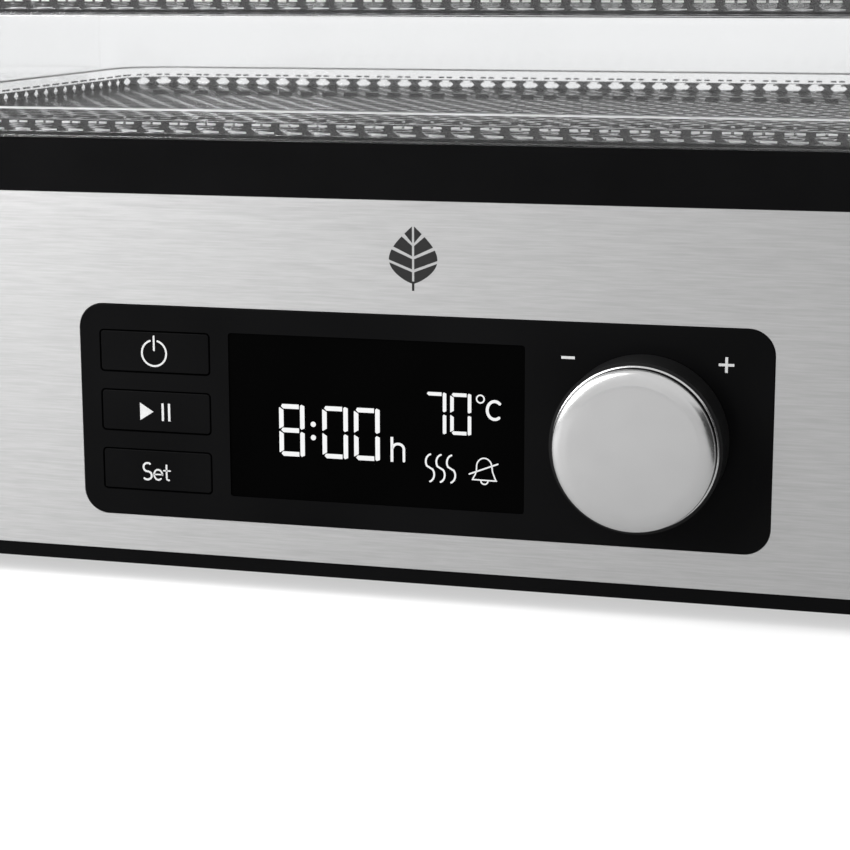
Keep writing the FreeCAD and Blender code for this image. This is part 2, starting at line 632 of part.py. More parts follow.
def make_fan_motor():
    """Motor can with a front boss, a bore for its bearings and a terminal block."""
    top = MOTOR_Z + MOTOR_H
    can = rod_z(MOTOR_R, MOTOR_Z, top, 0, FAN_Y)
    rim = [e for e in can.Edges if abs(e.BoundBox.ZMin - top) < 0.01]
    can = can.makeFillet(1.5, rim)
    boss = rod_z(5.5, top - 1, top + 2.5, 0, FAN_Y)
    terminals = box(MOTOR_R - 2, FAN_Y - 5, MOTOR_Z + 1, MOTOR_R + 3, FAN_Y + 5, MOTOR_Z + 6)
    motor = fuse([can, boss, terminals])
    holes = [rod_z(BEARING_R, MOTOR_Z + 1.5, top + 3, 0, FAN_Y)]
    for x, y in circle_spots(2, MOTOR_SCREW_R, 0):
        holes.append(rod_z(SCREW_R + SCREW_CLEAR, MOTOR_Z - 1, MOTOR_Z + 5, x, y))
    return cut(motor, holes)


def make_motor_bearings():
    """Two bronze sleeve bearings in the motor."""
    bearings = []
    for z in (MOTOR_Z + 3, MOTOR_Z + MOTOR_H - 3):
        sleeve = rod_z(BEARING_R, z, z + BEARING_H, 0, FAN_Y)
        bore = rod_z(SHAFT_R + 0.05, z - 1, z + BEARING_H + 1, 0, FAN_Y)
        bearings.append(sleeve.cut(bore))
    return Part.makeCompound(bearings)


def make_motor_shaft():
    """Steel spindle that carries the impeller."""
    return rod_z(SHAFT_R, MOTOR_Z + 2, IMPELLER_TOP - 1, 0, FAN_Y)


def make_fan_impeller():
    """Axial impeller: a cupped hub with pitched blades."""
    low = IMPELLER_LOW - 1
    cup_top = IMPELLER_TOP - 4
    hub = rod_z(HUB_R, IMPELLER_LOW, IMPELLER_TOP, 0, FAN_Y)
    rim = [e for e in hub.Edges if abs(e.BoundBox.ZMin - IMPELLER_TOP) < 0.01]
    hub = hub.makeFillet(2.0, rim)
    hollow = rod_z(HUB_R - 1.8, low, cup_top, 0, FAN_Y).cut(rod_z(3.4, low, cup_top, 0, FAN_Y))
    hub = hub.cut(hollow)
    blade_z = (IMPELLER_LOW + IMPELLER_TOP) / 2 + 0.2
    blades = []
    for i in range(FAN_BLADES):
        blade = box(HUB_R - 1, FAN_Y - BLADE_CHORD / 2, blade_z - BLADE_T / 2,
                    BLADE_TIP_R, FAN_Y + BLADE_CHORD / 2, blade_z + BLADE_T / 2)
        blade.rotate(Vec(0, FAN_Y, blade_z), Vec(1, 0, 0), BLADE_TILT_DEG)
        blades.append(blade.rotate(Vec(0, FAN_Y, 0), Vec(0, 0, 1), 360.0 * i / FAN_BLADES))
    wheel = fuse([hub] + blades)
    return wheel.cut(rod_z(SHAFT_R, low, IMPELLER_TOP - 1, 0, FAN_Y))


def make_heater_frame():
    """Cross of mica plates that carries the heating wire."""
    reach = SHROUD_R - 1.4
    half = MICA_T / 2
    low = HEATER_Z - MICA_HALF_H
    high = HEATER_Z + MICA_HALF_H
    plate_x = box(-reach, FAN_Y - half, low, reach, FAN_Y + half, high)
    plate_y = box(-half, FAN_Y - reach, low, half, FAN_Y + reach, high)
    cross = fuse([plate_x, plate_y])
    grooves = []
    for radius in COIL_RADII:
        grooves.append(Part.makeTorus(radius, COIL_WIRE_R + 0.25, Vec(0, FAN_Y, HEATER_Z)))
    return cross.cut(grooves)


def make_heater_coil():
    """Three rings of heating wire, joined in series by two short links."""
    shapes = [Part.makeTorus(r, COIL_WIRE_R, Vec(0, FAN_Y, HEATER_Z)) for r in COIL_RADII]
    for i in range(2):
        angle = 40 - 80 * i
        link = rod_x(COIL_WIRE_R * 0.8, COIL_RADII[i], COIL_RADII[i + 1], FAN_Y, HEATER_Z)
        shapes.append(link.rotate(Vec(0, FAN_Y, 0), Vec(0, 0, 1), angle))
    return shapes[0].fuse(shapes[1:])


def make_thermal_cutout():
    """Bimetal cut-out on the middle of the mica cross."""
    base = HEATER_Z + MICA_HALF_H
    return fuse([rod_z(6.5, base, base + 3, 0, FAN_Y), rod_z(5.0, base + 2, base + 6, 0, FAN_Y)])


def make_thermal_fuse():
    """One-shot fuse that lies on the mica cross."""
    radius = 2.0
    z = HEATER_Z + MICA_HALF_H + radius
    return fuse([rod_x(radius, 14, 26, FAN_Y, z), rod_x(0.6, 10, 30, FAN_Y, z)])


def make_temperature_sensor():
    """Probe that reaches through the shroud into the outlet air."""
    outer = SHROUD_R + SHROUD_T
    tip_x = -32.0
    tube = rod_x(PROBE_R, -outer - 1.5, tip_x, FAN_Y, PROBE_Z)
    collar = rod_x(2 * PROBE_R, -outer - 1.5, -outer, FAN_Y, PROBE_Z)
    return fuse([tube, collar, Part.makeSphere(PROBE_R, Vec(tip_x, FAN_Y, PROBE_Z))])


# ---------------------------------------------------------------- power electronics
def power_post_spots():
    """Posts and screws at the corners of the power board."""
    return [(x, y) for x in (POWER_X0 + 5, POWER_X1 - 4) for y in (POWER_Y0 + 14, POWER_Y1 - 4)]


def make_power_board():
    """Circuit board that lies on the posts of the pan."""
    mid_x = (POWER_X0 + POWER_X1) / 2
    mid_y = (POWER_Y0 + POWER_Y1) / 2
    board = slab(POWER_X1 - POWER_X0, POWER_Y1 - POWER_Y0, 2.0, POWER_Z, POWER_Z + BOARD_T, mid_x, mid_y)
    holes = [rod_z(SCREW_R + SCREW_CLEAR, POWER_Z - 1, POWER_Z + 3, x, y) for x, y in power_post_spots()]
    return cut(board, holes)


def make_transformer():
    """Laminated core with its bobbin."""
    z = POWER_Z + BOARD_T
    core = box(68, 32, z, 104, 56, z + 26)
    windows = [box(74, 31, z + 6, 82, 57, z + 20), box(90, 31, z + 6, 98, 57, z + 20)]
    bobbin = box(74.2, 27, z + 6.2, 97.8, 61, z + 19.8)
    return fuse([cut(core, windows), bobbin])


def make_relay():
    """Sealed relay that switches the heater."""
    z = POWER_Z + BOARD_T
    case = box(66, -6, z, 85, 10, z + 15)
    return case.makeFillet(0.8, [e for e in case.Edges if e.BoundBox.ZMin > z + 14])


def make_capacitors():
    """Three can capacitors."""
    z = POWER_Z + BOARD_T
    cans = []
    for x, y, radius, height in ((95, -2, 5, 16), (108, -2, 5, 16), (108, 14, 4, 12)):
        can = rod_z(radius, z, z + height, x, y)
        cans.append(can.makeFillet(0.6, [e for e in can.Edges if e.BoundBox.ZMin > z + height - 0.1]))
    return Part.makeCompound(cans)


def make_mains_fuse():
    """Cartridge fuse between two spring clips."""
    z = POWER_Z + BOARD_T
    barrel = rod_x(2.5, 74, 94, -20, z + 4.5)
    clips = [box(x, -24, z, x + 3, -16, z + 5) for x in (76, 89)]
    return fuse([barrel] + clips)


def make_terminal_block():
    """Three-way terminal for the mains lead, open towards the gland."""
    block = box(GLAND_X - 12, 69, PAN_TOP, GLAND_X + 12, 80, PAN_TOP + 12)
    ways = [rod_y(1.8, 74, 81, GLAND_X + 7 * i, PAN_TOP + 6) for i in (-1, 0, 1)]
    tops = [rod_z(2.2, PAN_TOP + 9, PAN_TOP + 13, GLAND_X + 7 * i, 76) for i in (-1, 0, 1)]
    return cut(block, ways + tops)


def make_cord_gland():
    """Rubber gland in the back wall, bored for the mains cord."""
    inner_wall = BACK_Y - STEEL_T - FRAME_T
    body = rod_y(GLAND_R, inner_wall - 5, BACK_Y, GLAND_X, GLAND_Z)
    flange = rod_y(GLAND_R + 2.5, inner_wall - 2.2, inner_wall, GLAND_X, GLAND_Z)
    bore = rod_y(GLAND_BORE_R, inner_wall - 6, BACK_Y + 1, GLAND_X, GLAND_Z)
    return fuse([body, flange]).cut(bore)


def make_ribbon_cable():
    """Flat cable with a plug at each board."""
    back = BOARD_Y + BOARD_T
    z = POWER_Z + BOARD_T
    plug_a = box(51, back, 18, 59, back + 6, 25)
    flat_a = box(52, back + 5, 21, 58, POWER_Y0 + 4, 22)
    flat_b = box(52, POWER_Y0 + 3, z + 4, 58, POWER_Y0 + 4, 22)
    plug_b = box(51, POWER_Y0 + 1, z, 59, POWER_Y0 + 6, z + 5)
    return fuse([plug_a, flat_a, flat_b, plug_b])


def make_heater_leads():
    """Pair of insulated wires from the heater to the power board."""
    leads = []
    start = COIL_RADII[-1] + COIL_WIRE_R + 0.1
    for side in (-1, 1):
        y = FAN_Y + side * 2.2
        route = [(start, y, HEATER_Z), (58, y, HEATER_Z), (61 + side, y + 3, 42),
                 (60 + side, y + 8, 24), (60 + side, y + 8, POWER_Z + BOARD_T)]
        leads.append(lead(route, 1.0))
    return Part.makeCompound(leads)


def make_motor_leads():
    """Pair of wires from the motor to the power board."""
    leads = []
    for side in (-1, 1):
        y = FAN_Y - 2 + side * 1.3
        end_y = FAN_Y - 12 + side * 1.2
        route = [(MOTOR_R + 3, y, MOTOR_Z + 4), (24, y, MOTOR_Z + 4), (35, end_y, MOTOR_Z + 10),
                 (58, end_y, MOTOR_Z + 10), (58, end_y, POWER_Z + BOARD_T)]
        leads.append(lead(route, 0.8))
    return Part.makeCompound(leads)


def make_sensor_lead():
    """Wire from the temperature probe to the control board."""
    start = -SHROUD_R - SHROUD_T - 1.5
    route = [(start, FAN_Y, PROBE_Z), (-62, FAN_Y, PROBE_Z), (-72, -16, 60),
             (-68, -42, 48), (-52, -56, 40), (-52, BOARD_Y + BOARD_T, 40)]
    return lead(route, 1.0)


# ---------------------------------------------------------------- fasteners
def make_bottom_screws():
    """Four screws that hold the pan to the corner pillars."""
    seat = FOOT_H + SCREW_HEAD_H
    return Part.makeCompound([screw_z(x, y, seat, 12.0, False) for x, y in mirrored_spots(CORNER_SCREW)])


def make_deck_screws():
    """Four screws that draw the deck down to the frame."""
    return Part.makeCompound([screw_z(x, y, 60.0, 12.0, False) for x, y in mirrored_spots(DECK_SCREW)])


def make_shroud_screws():
    """Four screws through the foot flange of the shroud."""
    spots = circle_spots(4, SHROUD_SCREW_R, 45)
    return Part.makeCompound([screw_z(x, y, PAN_TOP + 2.5, 4.2, True) for x, y in spots])


def make_bracket_screws():
    """Three screws that hold the motor bracket to its lugs."""
    spots = circle_spots(3, SHROUD_R - 5, 90)
    return Part.makeCompound([screw_z(x, y, MOTOR_Z, 5.0, True) for x, y in spots])


def make_motor_screws():
    """Two screws that hold the motor to its bracket."""
    return Part.makeCompound([screw_z(x, y, MOTOR_Z - 2, 6.0, False) for x, y in circle_spots(2, 8.0, 0)])


def make_power_board_screws():
    """Four screws that hold the power board to its posts."""
    seat = POWER_Z + BOARD_T
    return Part.makeCompound([screw_z(x, y, seat, 7.0, True) for x, y in power_post_spots()])


# ---------------------------------------------------------------- trays and lid
def stack_wall(z0, height):
    """Wall of a tray or lid with the locating lip that drops into the piece below."""
    width = BODY_W - 2 * TRAY_INSET
    depth = BODY_D - 2 * TRAY_INSET
    radius = CORNER_R - TRAY_INSET
    wall = ring(width, depth, radius, TRAY_WALL, z0, z0 + height)
    inset = TRAY_WALL + LIP_GAP
    lip = ring(width - 2 * inset, depth - 2 * inset, radius - inset, LIP_T, z0 - LIP_H, z0 + TRAY_FLOOR)
    return wall, lip


def make_tray(index):
    """Clear stacking tray: wall, slotted floor and locating lip."""
    z0 = STACK_Z + index * TRAY_PITCH
    wall, lip = stack_wall(z0, TRAY_PITCH)
    floor = slab(BODY_W - 2, BODY_D - 2, CORNER_R - 1, z0, z0 + TRAY_FLOOR)
    tray = fuse([wall, lip, floor])
    pitch_x = (BODY_W - 2 * CORNER_R) / SLOT_COLUMNS
    pitch_y = (BODY_D - 2 * CORNER_R) / SLOT_ROWS
    half_l = SLOT_L / 2
    half_w = SLOT_W / 2
    slots = []
    for i in range(SLOT_COLUMNS):
        for j in range(SLOT_ROWS):
            x = (i - (SLOT_COLUMNS - 1) / 2) * pitch_x
            y = MID_Y + (j - (SLOT_ROWS - 1) / 2) * pitch_y
            slots.append(box(x - half_l, y - half_w, z0 - LIP_H, x + half_l, y + half_w, z0 + LIP_H))
    return tray.cut(slots)


def make_lid():
    """Clear lid with a raised middle and a row of vents."""
    z0 = STACK_Z + TRAY_COUNT * TRAY_PITCH
    roof = z0 + LID_WALL_H
    top = roof + LID_TOP_T
    wall, lip = stack_wall(z0, LID_WALL_H)
    cover = slab(BODY_W - 2 * TRAY_INSET, BODY_D - 2 * TRAY_INSET, CORNER_R - TRAY_INSET, roof - 1, top)
    rim = [e for e in cover.Edges if e.BoundBox.ZMin > top - 0.01]
    cover = cover.makeFillet(2.0, rim)
    cover = cover.cut(slab(BODY_W - 5.4, BODY_D - 5.4, CORNER_R - 2.7, roof - 2, roof))
    pad = slab(LID_PAD_W, LID_PAD_D, 14, roof, top + LID_RISE)
    pad = pad.makeFillet(1.2, [e for e in pad.Edges if e.BoundBox.ZMin > top + LID_RISE - 0.01])
    hollow_w = LID_PAD_W - 2 * LID_PAD_WALL
    hollow_d = LID_PAD_D - 2 * LID_PAD_WALL
    under_pad = slab(hollow_w, hollow_d, 11.6, roof - 1, top + LID_RISE - LID_TOP_T)
    ledge = ring(BODY_W - 2 * TRAY_INSET - 4, BODY_D - 2 * TRAY_INSET - 4, CORNER_R - 2.5, 2.6, z0, z0 + 1.5)
    lid = fuse([wall, lip, ledge, cover, pad]).cut(under_pad)
    y0 = MID_Y - VENT_HALF_L
    y1 = MID_Y + VENT_HALF_L
    vents = []
    for i in range(-6, 7):
        x = i * VENT_PITCH
        vents.append(box(x - VENT_W / 2, y0, roof - 1, x + VENT_W / 2, y1, top + 5))
    return lid.cut(vents)


# ---------------------------------------------------------------- build
NODES = {
    "bottom_pan": make_bottom_pan,
    "rubber_feet": make_rubber_feet,
    "inner_frame": make_inner_frame,
    "steel_band": make_steel_band,
    "top_deck": make_top_deck,
    "outlet_grille": make_outlet_grille,
    "control_fascia": make_control_fascia,
    "display_window": make_display_window,
    "display_gasket": make_display_gasket,
    "display_module": make_display_module,
    "control_board": make_control_board,
    "tact_switches": make_tact_switches,
    "encoder_body": make_encoder_body,
    "encoder_shaft": make_encoder_shaft,
    "encoder_nut": make_encoder_nut,
    "knob_body": make_knob_body,
    "knob_cap": make_knob_cap,
    "board_screws": make_board_screws,
    "fan_shroud": make_fan_shroud,
    "heat_shield": make_heat_shield,
    "motor_bracket": make_motor_bracket,
    "fan_motor": make_fan_motor,
    "motor_bearings": make_motor_bearings,
    "motor_shaft": make_motor_shaft,
    "fan_impeller": make_fan_impeller,
    "heater_frame": make_heater_frame,
    "heater_coil": make_heater_coil,
    "thermal_cutout": make_thermal_cutout,
    "thermal_fuse": make_thermal_fuse,
    "temperature_sensor": make_temperature_sensor,
    "power_board": make_power_board,
    "transformer": make_transformer,
    "relay": make_relay,
    "capacitors": make_capacitors,
    "mains_fuse": make_mains_fuse,
    "terminal_block": make_terminal_block,
    "cord_gland": make_cord_gland,
    "ribbon_cable": make_ribbon_cable,
    "heater_leads": make_heater_leads,
    "motor_leads": make_motor_leads,
    "sensor_lead": make_sensor_lead,
    "bottom_screws": make_bottom_screws,
    "deck_screws": make_deck_screws,
    "shroud_screws": make_shroud_screws,
    "bracket_screws": make_bracket_screws,
    "motor_screws": make_motor_screws,
    "power_board_screws": make_power_board_screws,
    "lid": make_lid,
}

for node, maker in NODES.items():
    save(node, maker())

for node, height in zip(("power_key", "start_key", "set_key"), key_heights()):
    save(node, make_key(height))

for tray_index in range(TRAY_COUNT):
    save("tray_" + str(tray_index + 1), make_tray(tray_index))
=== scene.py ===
"""Food dehydrator: materials, detailed pieces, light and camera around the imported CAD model.

Blender works in metres; the sizes named below are in millimetres, and MM turns them into metres. +Z is up,
the front of the object is towards -Y, and +X is to the right as seen from the front.
"""
import json
import math

import bpy
import bmesh
from mathutils import Matrix, Vector


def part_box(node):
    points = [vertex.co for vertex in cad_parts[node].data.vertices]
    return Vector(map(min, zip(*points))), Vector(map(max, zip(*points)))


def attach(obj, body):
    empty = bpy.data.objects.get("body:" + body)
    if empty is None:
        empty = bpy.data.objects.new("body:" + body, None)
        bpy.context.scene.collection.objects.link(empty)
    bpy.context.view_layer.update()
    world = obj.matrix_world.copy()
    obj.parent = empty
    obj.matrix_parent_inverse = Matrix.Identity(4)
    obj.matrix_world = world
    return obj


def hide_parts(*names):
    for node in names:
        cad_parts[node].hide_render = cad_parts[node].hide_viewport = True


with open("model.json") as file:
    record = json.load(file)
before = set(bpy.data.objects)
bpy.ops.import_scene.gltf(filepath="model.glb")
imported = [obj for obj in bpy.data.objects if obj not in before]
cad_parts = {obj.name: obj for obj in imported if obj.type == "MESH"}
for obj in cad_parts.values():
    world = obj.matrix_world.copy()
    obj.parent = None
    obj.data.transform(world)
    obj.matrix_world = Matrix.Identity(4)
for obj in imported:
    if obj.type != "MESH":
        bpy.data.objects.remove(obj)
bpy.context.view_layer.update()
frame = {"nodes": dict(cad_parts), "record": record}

MM = 0.001

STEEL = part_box("steel_band")
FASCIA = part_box("control_fascia")
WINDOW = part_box("display_window")
KNOB_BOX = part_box("knob_body")
CAP_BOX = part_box("knob_cap")
PANEL_WIDTH = 130 * MM
PANEL_CENTRE = Vector((0, STEEL[0].y, (FASCIA[0].z + FASCIA[1].z) / 2))
MID_Y = (STEEL[0].y + STEEL[1].y) / 2
BOX_FACES = [(0, 1, 3, 2), (4, 6, 7, 5), (0, 4, 5, 1), (2, 3, 7, 6), (0, 2, 6, 4), (1, 5, 7, 3)]


# ---------------------------------------------------------------- mesh helpers
def add_piece(name, mesh, materials, body, replaced=(), sharp_deg=35):
    """Links a mesh as a named piece that rides on a body and takes the materials it is given."""
    piece = bpy.data.objects.new(name, mesh)
    bpy.context.scene.collection.objects.link(piece)
    for material in materials:
        mesh.materials.append(material)
    mesh.shade_smooth()
    mesh.set_sharp_from_angle(angle=math.radians(sharp_deg))
    flatten = piece.modifiers.new("flat_faces", "WEIGHTED_NORMAL")
    flatten.keep_sharp = True
    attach(piece, body)
    if replaced:
        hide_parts(*replaced)
    return piece


def mesh_from(name, verts, faces):
    """Mesh with consistent outward normals."""
    mesh = bpy.data.meshes.new(name)
    mesh.from_pydata([tuple(v) for v in verts], [], faces)
    work = bmesh.new()
    work.from_mesh(mesh)
    bmesh.ops.recalc_face_normals(work, faces=work.faces)
    work.to_mesh(mesh)
    work.free()
    return mesh


def rounded_outline(width, depth, radius, corner_steps=14):
    """Counter-clockwise points of a round-cornered rectangle about the origin."""
    points = []
    for quarter, (sx, sy) in enumerate(((1, -1), (1, 1), (-1, 1), (-1, -1))):
        cx = sx * (width / 2 - radius)
        cy = sy * (depth / 2 - radius)
        for step in range(corner_steps + 1):
            angle = math.radians(-90 + 90 * quarter + 90 * step / corner_steps)
            points.append((cx + radius * math.cos(angle), cy + radius * math.sin(angle)))
    return points


def ring_loft(profile, width, depth, radius, z0):
    """Closed tube round a rounded rectangle; profile is a loop of (inset, height) in millimetres."""
    verts = []
    loops = []
    for inset, height in profile:
        shrink = inset * MM
        outline = rounded_outline(width - 2 * shrink, depth - 2 * shrink, max(radius - shrink, 0.4 * MM))
        loops.append(range(len(verts), len(verts) + len(outline)))
        verts += [(x, MID_Y + y, z0 + height * MM) for x, y in outline]
    faces = []
    for a, b in zip(loops, loops[1:] + loops[:1]):
        count = len(a)
        for i in range(count):
            j = (i + 1) % count
            faces.append((a[i], a[j], b[j], b[i]))
    return verts, faces


def join_parts(parts):
    """One list of points and faces from several."""
    verts = []
    faces = []
    for part_verts, part_faces in parts:
        base = len(verts)
        verts += part_verts
        faces += [tuple(base + i for i in face) for face in part_faces]
    return verts, faces


def block(low, high):
    """Closed box between two corners."""
    (x0, y0, z0), (x1, y1, z1) = low, high
    return [(x, y, z) for x in (x0, x1) for y in (y0, y1) for z in (z0, z1)], BOX_FACES


def turned_block(centre, tangent, length, depth, z0, z1):
    """Closed box that lies along a level direction."""
    side = Vector((-tangent.y, tangent.x))
    verts = []
    for a in (-0.5, 0.5):
        for b in (-0.5, 0.5):
            for z in (z0, z1):
                spot = Vector(centre) + tangent * (a * length) + side * (b * depth)
                verts.append((spot.x, spot.y, z))
    return verts, BOX_FACES


def lathe(profile, centre, steps, closed=False):
    """Solid turned about a front-to-back axis; profile is (radius, y), axis to axis or a closed loop."""
    verts = []
    rows = []
    for radius, y in profile:
        if radius < 1e-7:
            rows.append([len(verts)])
            verts.append((centre.x, y, centre.z))
            continue
        row = []
        for step in range(steps):
            angle = 2 * math.pi * step / steps
            row.append(len(verts))
            verts.append((centre.x + radius * math.cos(angle), y, centre.z + radius * math.sin(angle)))
        rows.append(row)
    faces = []
    for a, b in zip(rows, rows[1:] + rows[:1] * closed):
        for i in range(steps):
            j = (i + 1) % steps
            corners = [a[i % len(a)], a[j % len(a)], b[j % len(b)], b[i % len(b)]]
            unique = list(dict.fromkeys(corners))
            if len(unique) > 2:
                faces.append(tuple(unique))
    return verts, faces


def plate(outline, y_face, thick):
    """Closed thin prism in a front-facing plane; outline is a simple loop of (x, z)."""
    count = len(outline)
    verts = [(x, y_face, z) for x, z in outline] + [(x, y_face + thick, z) for x, z in outline]
    faces = [tuple(range(count)), tuple(range(2 * count - 1, count - 1, -1))]
    for i in range(count):
        j = (i + 1) % count
        faces.append((i, j, count + j, count + i))
    return verts, faces


def stroke_outline(points, width, round_steps=5):
    """Outline of a pen stroke with round ends along a list of (x, z) points."""
    path = [Vector(p) for p in points]
    left = []
    right = []
    half = width / 2
    for i, point in enumerate(path):
        before = (point - path[i - 1]).normalized() if i else (path[1] - path[0]).normalized()
        after = (path[i + 1] - point).normalized() if i < len(path) - 1 else before
        along = (before + after).normalized()
        normal = Vector((-along.y, along.x))
        reach = half / max(0.4, normal.dot(Vector((-after.y, after.x))))
        left.append(point + normal * reach)
        right.append(point - normal * reach)

    def cap(centre, start):
        """Points of the half circle that closes one end."""
        turns = [Matrix.Rotation(-math.pi * k / round_steps, 2) for k in range(1, round_steps)]
        return [centre + turn @ (start - centre) for turn in turns]

    end_cap = cap(path[-1], left[-1])
    start_cap = cap(path[0], right[0])
    loop = left + end_cap + right[::-1] + start_cap
    return [(p.x, p.y) for p in loop]


def hoop(centre, radius, width, y_face, thick, start_deg=0.0, sweep_deg=360.0, steps=64):
    """Flat ring or arc of a ring in a front-facing plane."""
    if sweep_deg < 360.0:
        arc = []
        for k in range(steps + 1):
            angle = math.radians(start_deg + sweep_deg * k / steps)
            arc.append((centre[0] + radius * math.cos(angle), centre[1] + radius * math.sin(angle)))
        return plate(stroke_outline(arc, width), y_face, thick)
    verts = []
    for r in (radius - width / 2, radius + width / 2):
        for y in (y_face, y_face + thick):
            for k in range(steps):
                angle = 2 * math.pi * k / steps
                verts.append((centre[0] + r * math.cos(angle), y, centre[1] + r * math.sin(angle)))
    faces = []
    for k in range(steps):
        n = (k + 1) % steps
        inner_front, inner_back, outer_front, outer_back = 0, steps, 2 * steps, 3 * steps
        faces.append((inner_front + k, inner_front + n, outer_front + n, outer_front + k))
        faces.append((inner_back + k, outer_back + k, outer_back + n, inner_back + n))
        faces.append((outer_front + k, outer_front + n, outer_back + n, outer_back + k))
        faces.append((inner_front + k, inner_back + k, inner_back + n, inner_front + n))
    return verts, faces


def disc_outline(centre, radius, steps=32):
    """Loop of points round a circle."""
    return [(centre[0] + radius * math.cos(2 * math.pi * k / steps),
             centre[1] + radius * math.sin(2 * math.pi * k / steps)) for k in range(steps)]


# ---------------------------------------------------------------- material helpers
class Shader:
    """Node material with one Principled shader and short ways to add procedural detail."""

    def __init__(self, name, color, roughness, metallic=0.0):
        self.material = bpy.data.materials.new(name)
        self.material.use_nodes = True
        self.tree = self.material.node_tree
        self.main = self.tree.nodes["Principled BSDF"]
        self.main.inputs["Base Color"].default_value = (*color, 1)
        self.main.inputs["Roughness"].default_value = roughness
        self.main.inputs["Metallic"].default_value = metallic
        self.color = color
        self.roughness = roughness

    def node(self, kind, **settings):
        """New node with its properties set."""
        item = self.tree.nodes.new(kind)
        for key, value in settings.items():
            setattr(item, key, value)
        return item

    def link(self, source, target):
        """Link from an output socket to an input socket."""
        self.tree.links.new(source, target)

    def place(self, scale):
        """Object coordinates stretched by a scale per axis."""
        coords = self.node("ShaderNodeTexCoord")
        mapping = self.node("ShaderNodeMapping")
        mapping.inputs["Scale"].default_value = scale
        self.link(coords.outputs["Object"], mapping.inputs["Vector"])
        return mapping.outputs["Vector"]

    def noise(self, scale, detail=4.0, rough=0.55, stretch=(1, 1, 1)):
        """Noise value in object space."""
        texture = self.node("ShaderNodeTexNoise")
        texture.inputs["Scale"].default_value = scale
        texture.inputs["Detail"].default_value = detail
        texture.inputs["Roughness"].default_value = rough
        self.link(self.place(stretch), texture.inputs["Vector"])
        return texture.outputs["Fac"]

    def spread(self, value, low, high):
        """Noise value mapped to a range."""
        ramp = self.node("ShaderNodeMapRange")
        ramp.inputs["From Min"].default_value = 0.3
        ramp.inputs["From Max"].default_value = 0.7
        ramp.inputs["To Min"].default_value = low
        ramp.inputs["To Max"].default_value = high
        self.link(value, ramp.inputs["Value"])
        return ramp.outputs["Result"]

    def vary_color(self, value, amount, dark=None):
        """Base colour moves between a darker and a lighter tone."""
        mix = self.node("ShaderNodeMix", data_type="RGBA")
        low = dark or tuple(c * (1 - amount) for c in self.color)
        high = tuple(min(1.0, c * (1 + amount)) for c in self.color)
        mix.inputs["A"].default_value = (*low, 1)
        mix.inputs["B"].default_value = (*high, 1)
        self.link(self.spread(value, 0, 1), mix.inputs["Factor"])
        self.link(mix.outputs["Result"], self.main.inputs["Base Color"])

    def vary_roughness(self, value, amount):
        """Roughness moves to both sides of its middle value."""
        low = max(0.02, self.roughness - amount)
        high = min(1.0, self.roughness + amount)
        self.link(self.spread(value, low, high), self.main.inputs["Roughness"])

    def bump(self, value, strength, distance):
        """Fine relief from a noise value; distance is its height in metres."""
        bump = self.node("ShaderNodeBump")
        bump.inputs["Strength"].default_value = strength
        bump.inputs["Distance"].default_value = distance
        self.link(value, bump.inputs["Height"])
        self.link(bump.outputs["Normal"], self.main.inputs["Normal"])


# ---------------------------------------------------------------- materials
def brushed_steel():
    """Fine, even, level grinding marks round the band."""
    shader = Shader("brushed_steel", (0.258, 0.258, 0.258), 0.34, 1.0)
    grain = shader.noise(1.0, 3.0, 0.6, (130, 130, 3200))
    shader.vary_color(grain, 0.08)
    shader.vary_roughness(shader.noise(1.0, 2.0, 0.5, (60, 60, 1500)), 0.02)
    shader.bump(grain, 0.05, 0.00002)
    return shader.material


def satin_metal():
    """Fine blasted metal of the knob face."""
    shader = Shader("satin_metal", (0.29, 0.29, 0.29), 0.21, 1.0)
    fine = shader.noise(2600, 3.0)
    shader.vary_color(shader.noise(120, 3.0), 0.03)
    shader.vary_roughness(fine, 0.04)
    shader.bump(fine, 0.05, 0.00002)
    return shader.material


def plastic(name, color, roughness, grain=1600.0, depth=0.00003, specular=0.5, strength=0.25):
    """Moulded plastic with a spark-eroded grain and slightly uneven gloss."""
    shader = Shader(name, color, roughness)
    fine = shader.noise(grain, 3.0)
    shader.vary_color(shader.noise(60, 3.0), 0.12)
    shader.vary_roughness(shader.noise(45, 4.0), 0.05)
    shader.bump(fine, strength, depth)
    shader.main.inputs["Specular IOR Level"].default_value = specular
    return shader.material


def gloss_black():
    """Polished black panel with the faintest orange peel."""
    shader = Shader("gloss_black", (0.0020, 0.0020, 0.0021), 0.20)
    shader.vary_color(shader.noise(30, 2.0), 0.2)
    shader.vary_roughness(shader.noise(80, 4.0), 0.04)
    shader.bump(shader.noise(300, 2.0), 0.02, 0.00005)
    shader.main.inputs["Specular IOR Level"].default_value = 0.008
    return shader.material


def dark_window():
    """Nearly opaque polished window."""
    shader = Shader("dark_window", (0.0004, 0.0004, 0.0004), 0.08)
    shader.vary_color(shader.noise(40, 2.0), 0.2)
    shader.vary_roughness(shader.noise(70, 3.0), 0.03)
    shader.main.inputs["Specular IOR Level"].default_value = 0.004
    return shader.material


def clear_plastic(name, color, roughness, ripple, ior=1.45):
    """Clear moulded plastic with faint flow marks."""
    shader = Shader(name, color, roughness)
    flow = shader.noise(1.0, 2.0, 0.5, (18, 18, 60))
    shader.vary_color(shader.noise(25, 2.0), 0.01)
    shader.vary_roughness(shader.noise(90, 3.0), roughness * 0.6)
    shader.bump(flow, ripple, 0.0002)
    shader.main.inputs["Transmission Weight"].default_value = 1.0
    shader.main.inputs["IOR"].default_value = ior
    return shader.material


